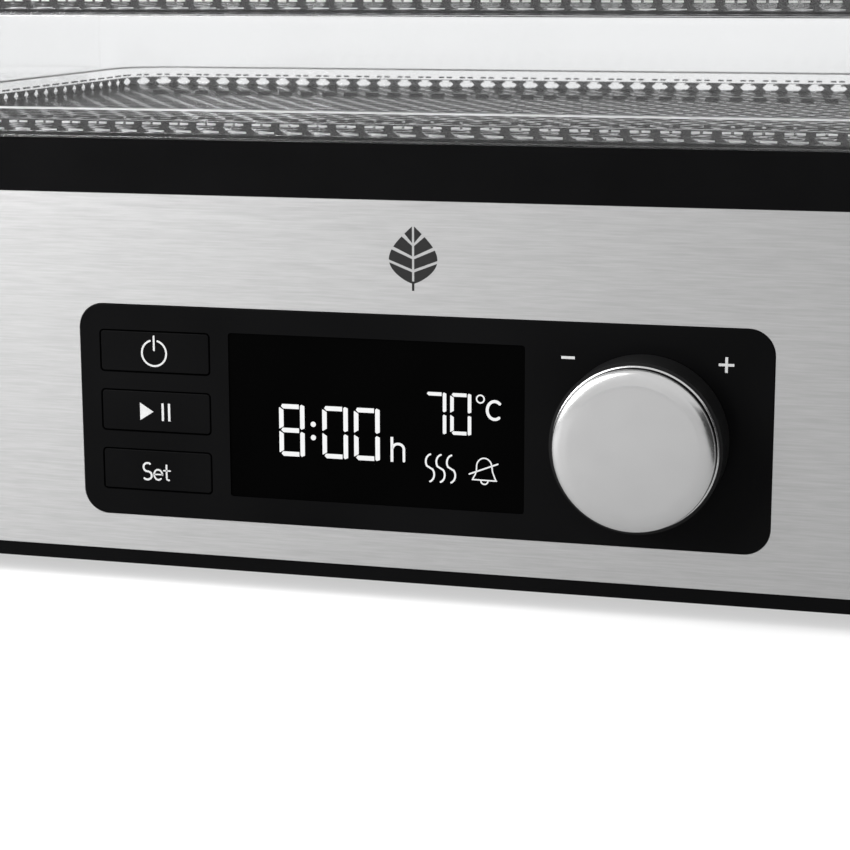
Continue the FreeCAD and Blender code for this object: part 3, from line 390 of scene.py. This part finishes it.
def frosted_edge():
    """Whitish, slightly clear plastic whose colour is a painted highlight. It stands in for the bright edges
    where the clear ribs catch the light.
    """
    shader = Shader("frosted_edge", (0.72, 0.72, 0.72), 0.35)
    shader.vary_color(shader.noise(180, 3.0), 0.04)
    shader.vary_roughness(shader.noise(200, 3.0), 0.08)
    shader.bump(shader.noise(900, 2.0), 0.1, 0.00005)
    shader.main.inputs["Transmission Weight"].default_value = 0.15
    shader.main.inputs["IOR"].default_value = 1.45
    return shader.material


def glow():
    """Lit segments of the display."""
    shader = Shader("display_glow", (0.08, 0.08, 0.08), 0.5)
    shader.vary_color(shader.noise(500, 2.0), 0.1)
    mix = shader.node("ShaderNodeMix", data_type="RGBA")
    mix.inputs["A"].default_value = (0.92, 0.93, 0.94, 1)
    mix.inputs["B"].default_value = (1.0, 1.0, 1.0, 1)
    shader.link(shader.noise(700, 2.0), mix.inputs["Factor"])
    shader.link(mix.outputs["Result"], shader.main.inputs["Emission Color"])
    shader.main.inputs["Emission Strength"].default_value = 0.64
    return shader.material


def print_ink(name, color, roughness, specular):
    """Screen-printed ink with a slightly uneven film."""
    shader = Shader(name, color, roughness)
    shader.main.inputs["Specular IOR Level"].default_value = specular
    shader.vary_color(shader.noise(900, 3.0), 0.06)
    shader.vary_roughness(shader.noise(600, 3.0), 0.08)
    shader.bump(shader.noise(2400, 2.0), 0.1, 0.00001)
    return shader.material


def plated_metal(name, color, roughness, stretch=(400, 400, 400)):
    """Plated or bare metal with drawing marks and stains."""
    shader = Shader(name, color, roughness, 1.0)
    marks = shader.noise(1.0, 4.0, 0.6, stretch)
    shader.vary_color(marks, 0.12)
    shader.vary_roughness(shader.noise(150, 3.0), 0.08)
    shader.bump(marks, 0.08, 0.00003)
    return shader.material


def circuit_board():
    """Green solder mask with darker copper areas beneath."""
    shader = Shader("circuit_board", (0.012, 0.10, 0.035), 0.35)
    cells = shader.node("ShaderNodeTexVoronoi", distance="MANHATTAN")
    cells.inputs["Scale"].default_value = 260
    shader.link(shader.place((1, 1, 1)), cells.inputs["Vector"])
    shader.vary_color(cells.outputs["Distance"], 0.4, dark=(0.006, 0.05, 0.018))
    shader.vary_roughness(shader.noise(300, 3.0), 0.1)
    shader.bump(cells.outputs["Distance"], 0.1, 0.00004)
    return shader.material


def laminated(name, color, roughness, metallic, stretch):
    """Stack of thin sheets seen on edge."""
    shader = Shader(name, color, roughness, metallic)
    sheets = shader.node("ShaderNodeTexWave", bands_direction="Z")
    sheets.inputs["Scale"].default_value = stretch
    shader.link(shader.place((1, 1, 1)), sheets.inputs["Vector"])
    shader.vary_color(sheets.outputs["Fac"], 0.25)
    shader.vary_roughness(shader.noise(200, 3.0), 0.08)
    shader.bump(sheets.outputs["Fac"], 0.2, 0.00005)
    return shader.material


def rubber(name, color):
    """Dull rubber with a fine pitted skin."""
    shader = Shader(name, color, 0.75)
    shader.vary_color(shader.noise(200, 4.0), 0.25)
    shader.vary_roughness(shader.noise(90, 3.0), 0.08)
    shader.bump(shader.noise(1800, 3.0), 0.35, 0.00005)
    return shader.material


CLEAR = clear_plastic("clear_plastic", (0.842, 0.846, 0.85), 0.02, 0.01)
# The net and the skirt are tinted grey and near black: painted shade standing in for the dark base seen
# through the clear trays.
NET = clear_plastic("clear_net", (0.24, 0.24, 0.248), 0.10, 0.02, 1.15)
COMB = clear_plastic("clear_comb", (0.065, 0.065, 0.067), 0.12, 0.02, 1.15)
# Painted highlight colour for the dashes and the bead round each tray's foot.
HIGHLIGHT_PAINT = frosted_edge()
GLOW = glow()
INK = print_ink("white_ink", (0.27, 0.27, 0.27), 0.5, 0.3)
DARK_INK = print_ink("dark_ink", (0.012, 0.012, 0.012), 0.5, 0.03)
SATIN = satin_metal()
DRUM = plastic("knob_black", (0.0055, 0.0055, 0.0056), 0.35, 2200, 0.00002, 0.05, 0.15)

SLOT_MATERIALS = {
    "brushed_steel": brushed_steel(),
    "black_plastic": plastic("black_plastic", (0.0018, 0.0018, 0.0019), 0.38, specular=0.009),
    "gloss_black": gloss_black(),
    "dark_window": dark_window(),
    "display_glow": plastic("display_glass", (0.01, 0.01, 0.011), 0.15),
    "satin_metal": SATIN,
    "clear_plastic": CLEAR,
    "foot_rubber": rubber("foot_rubber", (0.02, 0.02, 0.02)),
    "grey_plastic": plastic("grey_plastic", (0.06, 0.06, 0.062), 0.5),
    "dark_plastic": plastic("dark_plastic", (0.015, 0.015, 0.017), 0.45),
    "foam": rubber("foam", (0.03, 0.03, 0.03)),
    "circuit_board": circuit_board(),
    "zinc_metal": plated_metal("zinc_metal", (0.60, 0.60, 0.57), 0.3),
    "bare_aluminium": plated_metal("bare_aluminium", (0.75, 0.75, 0.76), 0.35, (60, 60, 900)),
    "bronze": plated_metal("bronze", (0.50, 0.31, 0.13), 0.45),
    "mica": laminated("mica", (0.50, 0.43, 0.30), 0.5, 0.0, 900),
    "heating_wire": plated_metal("heating_wire", (0.30, 0.28, 0.26), 0.5),
    "ceramic": plastic("ceramic", (0.80, 0.78, 0.72), 0.25, 500),
    "iron_core": laminated("iron_core", (0.20, 0.20, 0.21), 0.45, 1.0, 500),
    "relay_plastic": plastic("relay_plastic", (0.02, 0.08, 0.28), 0.3),
    "capacitor_sleeve": plastic("capacitor_sleeve", (0.01, 0.01, 0.035), 0.25),
    "wire_grey": rubber("wire_grey", (0.22, 0.22, 0.22)),
    "wire_red": rubber("wire_red", (0.40, 0.02, 0.015)),
}


def dress_cad_nodes():
    """Every CAD node takes the procedural material of its slot."""
    for entry in frame["record"]["subparts"]:
        node = frame["nodes"][entry["node"]]
        for index in range(len(node.material_slots)):
            node.material_slots[index].material = SLOT_MATERIALS[entry["material_slot"]]
    frame["nodes"]["knob_body"].material_slots[0].material = DRUM


# ---------------------------------------------------------------- trays
# Heights are above the foot of a tray's wall; insets are from the outside of that wall.
TRAY_NAMES = [entry["node"] for entry in frame["record"]["subparts"] if entry["node"].startswith("tray_")]
LIP_H = 2.2
LIP_SHOWN = 0.25
TRAY_H = 22.4
TRAY_WALL = 2.2
TRAY_CORNER = 17.5
FLOOR_LOW = 0.3
FLOOR_HIGH = 0.9
NET_INSET = 5.0
NET_CORNER = 13.0
NET_WALL = 1.3
CELL = 5.4
RIB_FROM_REAR = 42.0
RIB_MARGIN = 25.0
RIB_LENGTH = 2.8
RIB_DEPTH = 1.6
RIB_HIGH = 1.5
LEDGE_Z = 4.95
LEDGE_IN = TRAY_WALL + 2.0
SKIRT_IN = TRAY_WALL + 4.9
SKIRT_T = 0.8
SKIRT_HIGH = 2.87
HOLE_LOW = 0.85
HOLE_HIGH = 2.75
HOLE_FLAT = 1.9
HOLE_WIDTH = 4.0
DASH_H = 0.36
DASH_DEPTH = 0.3
# Dashes of one cell of the skirt: shift along it, length, height.
OUTER_DASHES = ((-1.05, 1.5, 2.25), (1.05, 1.5, 2.25), (0.9, 2.9, 0.82))
INNER_DASHES = ((-1.0, 1.3, 3.25), (1.0, 1.3, 3.25))


def perimeter_spots(width, depth, radius, pitch):
    """Evenly spaced (place, direction) pairs round a rounded rectangle, about the middle of the body."""
    outline = [Vector((x, MID_Y + y)) for x, y in rounded_outline(width, depth, radius, 24)]
    outline.append(outline[0].copy())
    total = sum((b - a).length for a, b in zip(outline, outline[1:]))
    count = round(total / pitch)
    spots = []
    travelled = 0.0
    for a, b in zip(outline, outline[1:]):
        run = (b - a).length
        while len(spots) < count and len(spots) * total / count <= travelled + run and run > 1e-9:
            share = (len(spots) * total / count - travelled) / run
            spots.append((a.lerp(b, share), (b - a).normalized()))
        travelled += run
    return spots


def tray_wall(width, depth, radius, z0):
    """Thin flat wall with rounded rims and the locating lip beneath its foot."""
    h = TRAY_H - 0.04
    t = TRAY_WALL
    profile = [
        (0.3, 0.04), (0.08, 0.12), (0.0, 0.34), (0.0, h - 0.3), (0.08, h - 0.08), (0.3, h), (t - 0.3, h),
        (t - 0.08, h - 0.08), (t, h - 0.3), (t, FLOOR_HIGH + 0.3), (t + 0.1, FLOOR_HIGH),
        (t + 2.2, FLOOR_HIGH), (t + 2.2, FLOOR_LOW), (t + 2.0, FLOOR_LOW),
        (t + 2.0, 0.1 - LIP_SHOWN), (t + 1.8, -LIP_SHOWN),
        (t + 0.7, -LIP_SHOWN), (t + 0.5, 0.1 - LIP_SHOWN), (t + 0.5, 0.04),
    ]
    return ring_loft(profile, width, depth, radius, z0)


def hexagon_sheet(centres, cell, wall):
    """Honeycomb net as points and faces: each cell keeps a rim and loses its middle."""
    points = []
    faces = []
    for cx, cy in centres:
        outer = []
        inner = []
        for k in range(6):
            angle = math.radians(60 * k + 30)
            reach = cell / math.sqrt(3)
            outer.append((cx + reach * math.cos(angle), cy + reach * math.sin(angle)))
            shrink = reach - wall / math.sqrt(3)
            inner.append((cx + shrink * math.cos(angle), cy + shrink * math.sin(angle)))
        base = len(points)
        points += outer + inner
        for k in range(6):
            n = (k + 1) % 6
            faces.append((base + k, base + n, base + 6 + n, base + 6 + k))
    return points, faces


def tray_net(width, depth, z0):
    """Honeycomb floor, cell by cell, with its rims merged and given thickness."""
    half_w = width / 2 - NET_INSET * MM
    half_d = depth / 2 - NET_INSET * MM
    cell = CELL * MM
    row_step = cell * math.sqrt(3) / 2
    rows = int(2 * half_d / row_step)
    centres = []
    for row in range(rows + 1):
        y = MID_Y - rows * row_step / 2 + row * row_step
        reach = half_w - corner_inset(abs(y - MID_Y), half_d, NET_CORNER * MM)
        columns = int(2 * reach / cell)
        if (columns + row) % 2:
            columns -= 1
        centres += [(cell * (column - columns / 2), y) for column in range(columns + 1)]
    points, faces = hexagon_sheet(centres, cell, NET_WALL * MM)
    mesh = bpy.data.meshes.new("net")
    mesh.from_pydata([(x, y, z0 + FLOOR_HIGH * MM) for x, y in points], [], faces)
    work = bmesh.new()
    work.from_mesh(mesh)
    bmesh.ops.remove_doubles(work, verts=work.verts, dist=0.02 * MM)
    bmesh.ops.recalc_face_normals(work, faces=work.faces)
    result = bmesh.ops.extrude_face_region(work, geom=work.faces[:])
    sunk = [item for item in result["geom"] if isinstance(item, bmesh.types.BMVert)]
    bmesh.ops.translate(work, verts=sunk, vec=(0, 0, (FLOOR_LOW - FLOOR_HIGH) * MM))
    bmesh.ops.recalc_face_normals(work, faces=work.faces)
    work.to_mesh(mesh)
    work.free()
    verts = [tuple(v.co) for v in mesh.vertices]
    faces = [tuple(p.vertices) for p in mesh.polygons]
    bpy.data.meshes.remove(mesh)
    return verts, faces


def corner_inset(offset, half, radius):
    """How far a row stops short so that it stays inside the round corner."""
    over = offset - (half - radius)
    if over <= 0:
        return 0.0
    return radius - math.sqrt(max(0.0, radius * radius - over * over))


def skirt_panel(place, along, length, z0):
    """One cell of the skirt: a thin upright plate with a six-sided hole, its points to the sides."""
    low, high = FLOOR_LOW * MM, SKIRT_HIGH * MM
    hole_low, hole_high = HOLE_LOW * MM, HOLE_HIGH * MM
    mid = (hole_low + hole_high) / 2
    half = length / 2
    flat = HOLE_FLAT / 2 * MM
    tip = HOLE_WIDTH / 2 * MM
    outline = [(-half, low), (-flat, low), (flat, low), (half, low), (half, mid), (half, high),
               (flat, high), (-flat, high), (-half, high), (-half, mid)]
    hole = [(-tip, mid), (-flat, hole_low), (flat, hole_low), (tip, mid), (flat, hole_high),
            (-flat, hole_high)]
    quads = [(0, 1, 11, 10), (1, 2, 12, 11), (2, 3, 13, 12), (3, 4, 13), (4, 5, 13), (5, 6, 14, 13),
             (6, 7, 15, 14), (7, 8, 10, 15), (8, 9, 10), (9, 0, 10)]
    side = Vector((-along.y, along.x))
    loop = outline + hole
    verts = []
    for depth in (-SKIRT_T / 2 * MM, SKIRT_T / 2 * MM):
        for run, z in loop:
            spot = place + along * run + side * depth
            verts.append((spot.x, spot.y, z0 + z))
    count = len(loop)
    faces = [tuple(quad) for quad in quads]
    faces += [tuple(count + i for i in reversed(quad)) for quad in quads]
    for ring in (range(10), range(10, 16)):
        ring = list(ring)
        for i, j in zip(ring, ring[1:] + ring[:1]):
            faces.append((i, j, count + j, count + i))
    return verts, faces


def tray_skirt(width, depth, radius, z0):
    """Upright comb round the foot of the wall, pierced by a row of six-sided holes."""
    inset = (SKIRT_IN + SKIRT_T / 2) * MM
    spots = perimeter_spots(width - 2 * inset, depth - 2 * inset, radius - inset, CELL * MM)
    return join_parts([skirt_panel(place, along, (CELL - 0.02) * MM, z0) for place, along in spots])


def tray_dashes(size, radius, z0, inset, bars):
    """Level bars along the skirt, as (shift, length, height) in millimetres for each of its cells."""
    parts = []
    width, depth = size
    gap = inset * MM
    for place, along in perimeter_spots(width - 2 * gap, depth - 2 * gap, radius - gap, CELL * MM):
        for shift, length, low in bars:
            centre = place + along * (shift * MM)
            top = z0 + (low + DASH_H) * MM
            parts.append(turned_block(centre, along, length * MM, DASH_DEPTH * MM, z0 + low * MM, top))
    return join_parts(parts)


def tray_rib(width, depth, z0):
    """Row of short blocks across the net, towards the rear."""
    parts = []
    y = MID_Y + depth / 2 - RIB_FROM_REAR * MM
    half = RIB_LENGTH / 2 * MM
    count = int((width - 2 * RIB_MARGIN * MM) / (CELL * MM))
    for k in range(count + 1):
        x = (k - count / 2) * CELL * MM
        low = (x - half, y, z0 + FLOOR_LOW * MM)
        parts.append(block(low, (x + half, y + RIB_DEPTH * MM, z0 + RIB_HIGH * MM)))
    return join_parts(parts)


def tray_ledge(width, depth, radius, z0):
    """Thin bead round the inside of the wall. Its whitish material paints a highlight line."""
    section = [(0, 0), (0, 0.3), (0.3, 0.4), (1.0, 0.3), (1.0, 0)]
    bead = [(LEDGE_IN + inset, LEDGE_Z + height) for inset, height in section]
    return ring_loft(bead, width, depth, radius, z0)


def build_trays():
    """Each tray is a clear wall, a honeycomb floor, a pierced skirt and, round its foot, whitish dashes and a
    bead that are painted highlights.
    """
    for name in TRAY_NAMES:
        low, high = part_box(name)
        z0 = low.z + LIP_H * MM
        size = (high.x - low.x, high.y - low.y)
        radius = TRAY_CORNER * MM
        outer = tray_dashes(size, radius, z0, SKIRT_IN - 0.12, OUTER_DASHES)
        inner = tray_dashes(size, radius, z0, SKIRT_IN + SKIRT_T - 0.2, INNER_DASHES)
        comb = join_parts([tray_skirt(*size, radius, z0), tray_rib(*size, z0), inner])
        pieces = [
            ("_wall", tray_wall(*size, radius, z0), CLEAR),
            ("_floor", tray_net(*size, z0), NET),
            ("_skirt", comb, COMB),
            # The outer dashes and the bead take the painted highlight material; the inner dashes ride on the
            # skirt.
            ("_dashes", outer, HIGHLIGHT_PAINT),
            ("_ledge", tray_ledge(*size, radius, z0), HIGHLIGHT_PAINT),
        ]
        for ending, shape, material in pieces:
            mesh = mesh_from(name + ending, *shape)
            replaced = (name,) if ending == "_wall" else ()
            add_piece(name + ending, mesh, [material], name, replaced)


# ---------------------------------------------------------------- knob
KNOB_STEPS = 192
DOME_STEPS = 16
DOME_H = 0.2
ROLL_STEPS = 32
ROLL_WIDTH = 2.75
ROLL_RUN = 3.13
KNOB_FACE_T = 1.5
# Section of the bright ring: out from the face's radius, back from its front.
KNOB_RING = ((-0.15, 3.3), (-0.15, 3.0), (-0.05, 2.93), (0.15, 2.97), (0.24, 3.06), (0.24, 3.3))


def knob_face_profile(radius, front):
    """Barely domed middle, then a roll that starts with a small step in slope and ends almost upright."""
    flat_r = radius - ROLL_WIDTH * MM
    shares = [k / DOME_STEPS for k in range(DOME_STEPS + 1)]
    profile = [(flat_r * share, front + DOME_H * MM * share ** 2) for share in shares]
    r, y = profile[-1]
    for k in range(ROLL_STEPS):
        tilt = math.radians(7 + 77 * ((k + 0.5) / ROLL_STEPS) ** 3.6)
        r += ROLL_RUN * MM / ROLL_STEPS * math.cos(tilt)
        y += ROLL_RUN * MM / ROLL_STEPS * math.sin(tilt)
        profile.append((r, y))
    back = front + KNOB_FACE_T * MM
    return profile + [(r, back - 0.1 * MM), (r - 0.15 * MM, back), (0.0, back)]


def build_knob():
    """Turned metal face that rolls over at its edge, and a thin bright ring set back behind the dark neck."""
    centre = (KNOB_BOX[0] + KNOB_BOX[1]) / 2
    radius = (CAP_BOX[1].x - CAP_BOX[0].x) / 2
    front = CAP_BOX[0].y
    face = mesh_from("knob_face", *lathe(knob_face_profile(radius, front), centre, KNOB_STEPS))
    add_piece("knob_face", face, [SATIN], "knob", ("knob_cap",), 40)
    profile = [(radius + out * MM, front + back * MM) for out, back in KNOB_RING]
    ring = mesh_from("knob_ring", *lathe(profile, centre, KNOB_STEPS, True))
    add_piece("knob_ring", ring, [SATIN], "knob")


# ---------------------------------------------------------------- printed marks and display
INK_T = 0.03 * MM
PANEL_FACE = FASCIA[0].y
GLOW_FACE = WINDOW[0].y - 0.04 * MM


def on_panel(points):
    """Points in millimetres from the middle of the panel, as (x, z) in metres."""
    return [(PANEL_CENTRE.x + x * MM, PANEL_CENTRE.z + z * MM) for x, z in points]


def add_mark(name, parts, material, body):
    verts, faces = join_parts(parts)
    return add_piece(name, mesh_from(name, verts, faces), [material], body)


def ink_plate(points):
    """Printed shape on the panel, from an outline in millimetres."""
    return plate(on_panel(points), PANEL_FACE - INK_T, INK_T + 0.01 * MM)


def ink_stroke(points, width):
    """Printed pen stroke on the panel."""
    return plate(stroke_outline(on_panel(points), width * MM), PANEL_FACE - INK_T, INK_T + 0.01 * MM)


def bar(x0, z0, x1, z1):
    """Loop of an upright rectangle."""
    return [(x0, z0), (x1, z0), (x1, z1), (x0, z1)]


def arc_points(cx, cz, rx, rz, start_deg, end_deg, steps=14):
    """Points along part of an ellipse."""
    points = []
    for k in range(steps + 1):
        angle = math.radians(start_deg + (end_deg - start_deg) * k / steps)
        points.append((cx + rx * math.cos(angle), cz + rz * math.sin(angle)))
    return points


def build_key_marks():
    """Power, start and pause, and set symbols; each rides on its key."""
    centre = on_panel([(-50.1, 11.12)])[0]
    ring = hoop(centre, 2.42 * MM, 0.35 * MM, PANEL_FACE - INK_T, INK_T + 0.01 * MM, 108, 324, 48)
    stem = ink_stroke([(-50.1, 14.3), (-50.1, 11.7)], 0.36)
    add_mark("mark_power", [ring, stem], INK, "power_key")
    play = ink_plate([(-53.2, 1.62), (-53.2, -1.72), (-50.52, -0.03)])
    pauses = [ink_plate(bar(x, -1.7, x + 0.44, 1.66)) for x in (-48.88, -47.6)]
    add_mark("mark_start", [play] + pauses, INK, "start_key")
    build_set_label()


def build_set_label():
    """The plain word Set on the third key, drawn with round-ended pen strokes."""
    s_curve = arc_points(-52.0, -10.75, 0.84, 0.82, 55, 250, 12)
    s_curve += arc_points(-52.13, -12.32, 0.92, 0.8, 70, -130, 12)
    e_curve = arc_points(-49.9, -12.1, 0.83, 0.98, 0, 310, 20)
    t_stem = [(-48.2, -10.2), (-48.2, -12.6)] + arc_points(-47.8, -12.62, 0.4, 0.42, 200, 280, 6)
    strokes = [
        ink_stroke(s_curve, 0.36),
        ink_stroke(e_curve, 0.32),
        ink_stroke([(-50.65, -12.05), (-49.1, -12.05)], 0.25),
        ink_stroke(t_stem, 0.34),
        ink_stroke([(-48.8, -11.25), (-47.45, -11.25)], 0.27),
    ]
    add_mark("mark_set", strokes, INK, "set_key")


def build_panel_marks():
    """Minus and plus beside the knob."""
    minus = ink_plate(bar(27.24, 13.5, 29.68, 13.99))
    plus_wide = ink_plate(bar(55.16, 13.41, 57.86, 13.89))
    plus_high = [ink_plate(bar(56.28, 13.89, 56.76, 15.03)), ink_plate(bar(56.28, 12.27, 56.76, 13.41))]
    add_mark("mark_minus", [minus], INK, "base")
    add_mark("mark_plus", [plus_wide] + plus_high, INK, "base")


def seven_segments(left, top, width, height, thick, lit):
    """Lit bars of one digit: upright bars run the full height, level bars fit between them."""
    gap = 0.22
    x0, x1 = left, left + width
    z1, z0 = top, top - height
    mid = (z0 + z1) / 2
    t = thick
    cut = 0.3 * t

    def level(zc):
        """Level bar with its ends cut to blunt points."""
        a, b = x0 + 0.45 * t, x1 - t - gap
        return [(a, zc), (a + cut, zc + t / 2), (b, zc + t / 2), (b, zc - t / 2),
                (a + cut + 0.2 * t, zc - t / 2)]

    def upright(xa, za, zb):
        """Upright bar with chamfered ends."""
        return [(xa + cut, zb), (xa + t, zb - cut), (xa + t, za + cut), (xa + cut, za),
                (xa, za + cut), (xa, zb - cut)]

    def inner_upright(xa, za, zb):
        """Left upright bar, which starts below the level bar."""
        return [(xa + 0.1 * t, zb), (xa + t, zb - 0.55 * t), (xa + t, za + 0.55 * t),
                (xa + 0.1 * t, za), (xa, za + 0.1 * t), (xa, zb - 0.1 * t)]

    bars = {
        "a": level(z1 - t / 2),
        "g": level(mid),
        "d": level(z0 + t / 2),
        "b": upright(x1 - t, mid + gap, z1),
        "c": upright(x1 - t, z0, mid - gap),
        "f": inner_upright(x0, mid + gap, z1 - 0.75 * t),
        "e": inner_upright(x0, z0 + 0.75 * t, mid - gap),
    }
    return [bars[letter] for letter in lit]


def glow_plate(points):
    """Lit shape on the window, from an outline in millimetres."""
    return plate(on_panel(points), GLOW_FACE, 0.03 * MM)


def glow_stroke(points, width):
    """Lit pen stroke on the window."""
    return plate(stroke_outline(on_panel(points), width * MM), GLOW_FACE, 0.03 * MM)


def build_display():
    """Time, temperature, heat and muted-bell signs, lit on the dark window."""
    digits = []
    for left, lit in ((-25.78, "abcdefg"), (-17.43, "abcdef"), (-11.35, "abcdef")):
        digits += seven_segments(left, 2.7, 4.92, 9.8, 0.86, lit)
    time_parts = [glow_plate(loop) for loop in digits]
    time_parts += [glow_plate(disc_outline((-19.18, z), 0.5)) for z in (-0.85, -3.35)]
    time_parts.append(glow_plate(bar(-4.4, -7.05, -3.88, -2.42)))
    hook = arc_points(-2.95, -4.62, 1.08, 0.95, 170, 0, 12) + [(-1.87, -6.82)]
    time_parts.append(glow_stroke(hook, 0.48))
    add_mark("display_time", time_parts, GLOW, "base")
    warm = []
    for left, lit in ((2.2, "abc"), (6.85, "abcdef")):
        warm += seven_segments(left, 6.3, 3.92, 7.7, 0.66, lit)
    heat_parts = [glow_plate(loop) for loop in warm]
    centre = on_panel([(12.45, 5.42)])[0]
    heat_parts.append(hoop(centre, 0.7 * MM, 0.26 * MM, GLOW_FACE, 0.03 * MM, steps=40))
    heat_parts.append(glow_stroke(arc_points(15.1, 3.46, 1.38, 1.65, 48, 305, 18), 0.54))
    add_mark("display_temperature", heat_parts, GLOW, "base")
    build_heat_sign()
    build_bell_sign()


def build_heat_sign():
    """Three rising waves, each of two bends with a short hook at both ends."""
    waves = []
    for shift in (0.0, 1.98, 3.96):
        upper = arc_points(3.42 + shift, -6.62, 1.16, 1.42, 105, 215, 10)
        lower = arc_points(2.72 + shift, -8.98, 1.12, 1.4, 42, -72, 10)
        waves.append(glow_stroke(upper + lower, 0.33))
    add_mark("display_heat", waves, GLOW, "base")


def build_bell_sign():
    """Bell with a stroke through it."""
    dome = arc_points(13.2, -7.05, 1.42, 1.62, 170, 10, 16)
    right = [(14.75, -7.9), (15.05, -8.7), (15.4, -9.55)]
    left = [(11.1, -9.3), (11.55, -8.5), (11.75, -7.8)]
    parts = [glow_stroke(left + dome + right, 0.24), glow_stroke([(11.0, -9.48), (15.5, -9.55)], 0.24)]
    parts.append(glow_stroke(arc_points(13.25, -9.65, 0.66, 0.62, 180, 360, 10), 0.25))
    parts.append(glow_stroke([(10.42, -8.5), (15.72, -6.4)], 0.27))
    add_mark("display_bell", parts, GLOW, "base")


def leaf_band(side, low, high):
    """Part of half a leaf between two slanting veins, at shares low and high of its height."""
    def height(share):
        return 25.9 + 10.3 * share
    top = min(1.0, high + 0.16)
    bottom = low + 0.16 if low else 0.0
    loop = [(side * 0.2, height(low)), (side * 0.2, height(high))]
    for k in range(13):
        share = max(0.0, top + (bottom - top) * k / 12)
        loop.append((side * (0.2 + 4.3 * math.sin(math.pi * share ** 0.8)), height(share)))
    return loop


def build_leaf_mark():
    """Small plain leaf with a stem, printed on the steel above the panel."""
    face = STEEL[0].y
    bands = ((0, 0.2), (0.25, 0.43), (0.48, 0.66), (0.71, 1))
    loops = [bar(-0.22, 24.6, 0.22, 26.3)]
    for side in (-1, 1):
        loops += [leaf_band(side, low, high) for low, high in bands]
    parts = [plate(on_panel(loop), face - INK_T, INK_T + 0.01 * MM) for loop in loops]
    add_mark("mark_leaf", parts, DARK_INK, "base")


# ---------------------------------------------------------------- stage
CAMERA_OFFSET = Vector((0.8072, -2.9124, 0.6242)) * PANEL_WIDTH
CAMERA_YAW = 0.2651
CAMERA_PITCH = 0.2036
CAMERA_ROLL = -0.002
CAMERA_LENS = 93.54


def build_camera():
    """Camera in front, a little to the right and above, with a long lens."""
    data = bpy.data.cameras.new("camera")
    data.lens = CAMERA_LENS
    data.sensor_width = 36
    data.clip_start = 0.01
    data.clip_end = 50
    camera = bpy.data.objects.new("camera", data)
    bpy.context.scene.collection.objects.link(camera)
    yaw, pitch = CAMERA_YAW, CAMERA_PITCH
    forward = Vector((-math.sin(yaw) * math.cos(pitch), math.cos(yaw) * math.cos(pitch), -math.sin(pitch)))
    right = Vector((math.cos(yaw), math.sin(yaw), 0))
    up = right.cross(forward)
    c, s = math.cos(CAMERA_ROLL), math.sin(CAMERA_ROLL)
    right, up = c * right + s * up, c * up - s * right
    turn = Matrix((right, up, -forward)).transposed().to_4x4()
    camera.matrix_world = Matrix.Translation(PANEL_CENTRE + CAMERA_OFFSET) @ turn
    bpy.context.scene.camera = camera


def build_floor():
    """Wide, flat, pale floor."""
    size = 6.0
    verts = [(-size, -size, 0), (size, -size, 0), (size, size, 0), (-size, size, 0)]
    mesh = mesh_from("floor", verts, [(0, 1, 2, 3)])
    floor = bpy.data.objects.new("floor", mesh)
    bpy.context.scene.collection.objects.link(floor)
    shader = Shader("floor_paper", (0.30, 0.30, 0.30), 0.6)
    shader.vary_color(shader.noise(6, 2.0), 0.01)
    shader.main.inputs["Emission Color"].default_value = (1, 1, 1, 1)
    shader.main.inputs["Emission Strength"].default_value = 0.55
    mesh.materials.append(shader.material)


def build_flag():
    """Dark cards on the right, seen only in reflections, that shade the right edge of the knob."""
    upright = block((0.300, -0.80, 0.004), (0.304, -0.10, 0.18))
    level = block((0.150, -0.80, 0.001), (0.300, -0.10, 0.002))
    mesh = mesh_from("flag", *join_parts([upright, level]))
    flag = bpy.data.objects.new("flag", mesh)
    bpy.context.scene.collection.objects.link(flag)
    shader = Shader("flag_cloth", (0.02, 0.02, 0.02), 0.9)
    shader.vary_color(shader.noise(400, 2.0), 0.1)
    mesh.materials.append(shader.material)
    flag.visible_camera = False
    flag.visible_diffuse = False
    flag.visible_transmission = False
    flag.visible_shadow = False


def add_softbox(name, place, target, width, height, power):
    """Rectangular lamp aimed at a point."""
    data = bpy.data.lights.new(name, "AREA")
    data.shape = "RECTANGLE"
    data.size = width
    data.size_y = height
    data.energy = power
    lamp = bpy.data.objects.new(name, data)
    bpy.context.scene.collection.objects.link(lamp)
    lamp.location = place
    lamp.rotation_euler = (Vector(target) - Vector(place)).to_track_quat("-Z", "Y").to_euler()
    lamp.visible_camera = False


BRIGHT_SIDE = (-0.5, -1.0, 0.8)


def build_light():
    """Even white surroundings with a low lamp on the left, so that light falls off to the right."""
    world = bpy.data.worlds.new("studio")
    world.use_nodes = True
    background = world.node_tree.nodes["Background"]
    background.inputs["Color"].default_value = (1, 1, 1, 1)
    nodes, links = world.node_tree.nodes, world.node_tree.links
    direction = nodes.new("ShaderNodeTexCoord")
    facing = nodes.new("ShaderNodeVectorMath")
    facing.operation = "DOT_PRODUCT"
    facing.inputs[1].default_value = BRIGHT_SIDE
    level = nodes.new("ShaderNodeMapRange")
    level.interpolation_type = "SMOOTHSTEP"
    level.inputs["From Min"].default_value = -0.7
    level.inputs["From Max"].default_value = 0.5
    level.inputs["To Min"].default_value = 0.95
    level.inputs["To Max"].default_value = 1.9
    links.new(direction.outputs["Generated"], facing.inputs[0])
    links.new(facing.outputs["Value"], level.inputs["Value"])
    links.new(level.outputs["Result"], background.inputs["Strength"])
    bpy.context.scene.world = world
    add_softbox("lamp_left", (-0.30, -0.38, 0.24), (-0.13, -0.27, 0), 0.36, 0.36, 5.4)
    bpy.context.scene.view_settings.view_transform = "Standard"


# ---------------------------------------------------------------- build
dress_cad_nodes()
build_trays()
build_knob()
build_key_marks()
build_panel_marks()
build_display()
build_leaf_mark()
build_floor()
build_flag()
build_light()
build_camera()
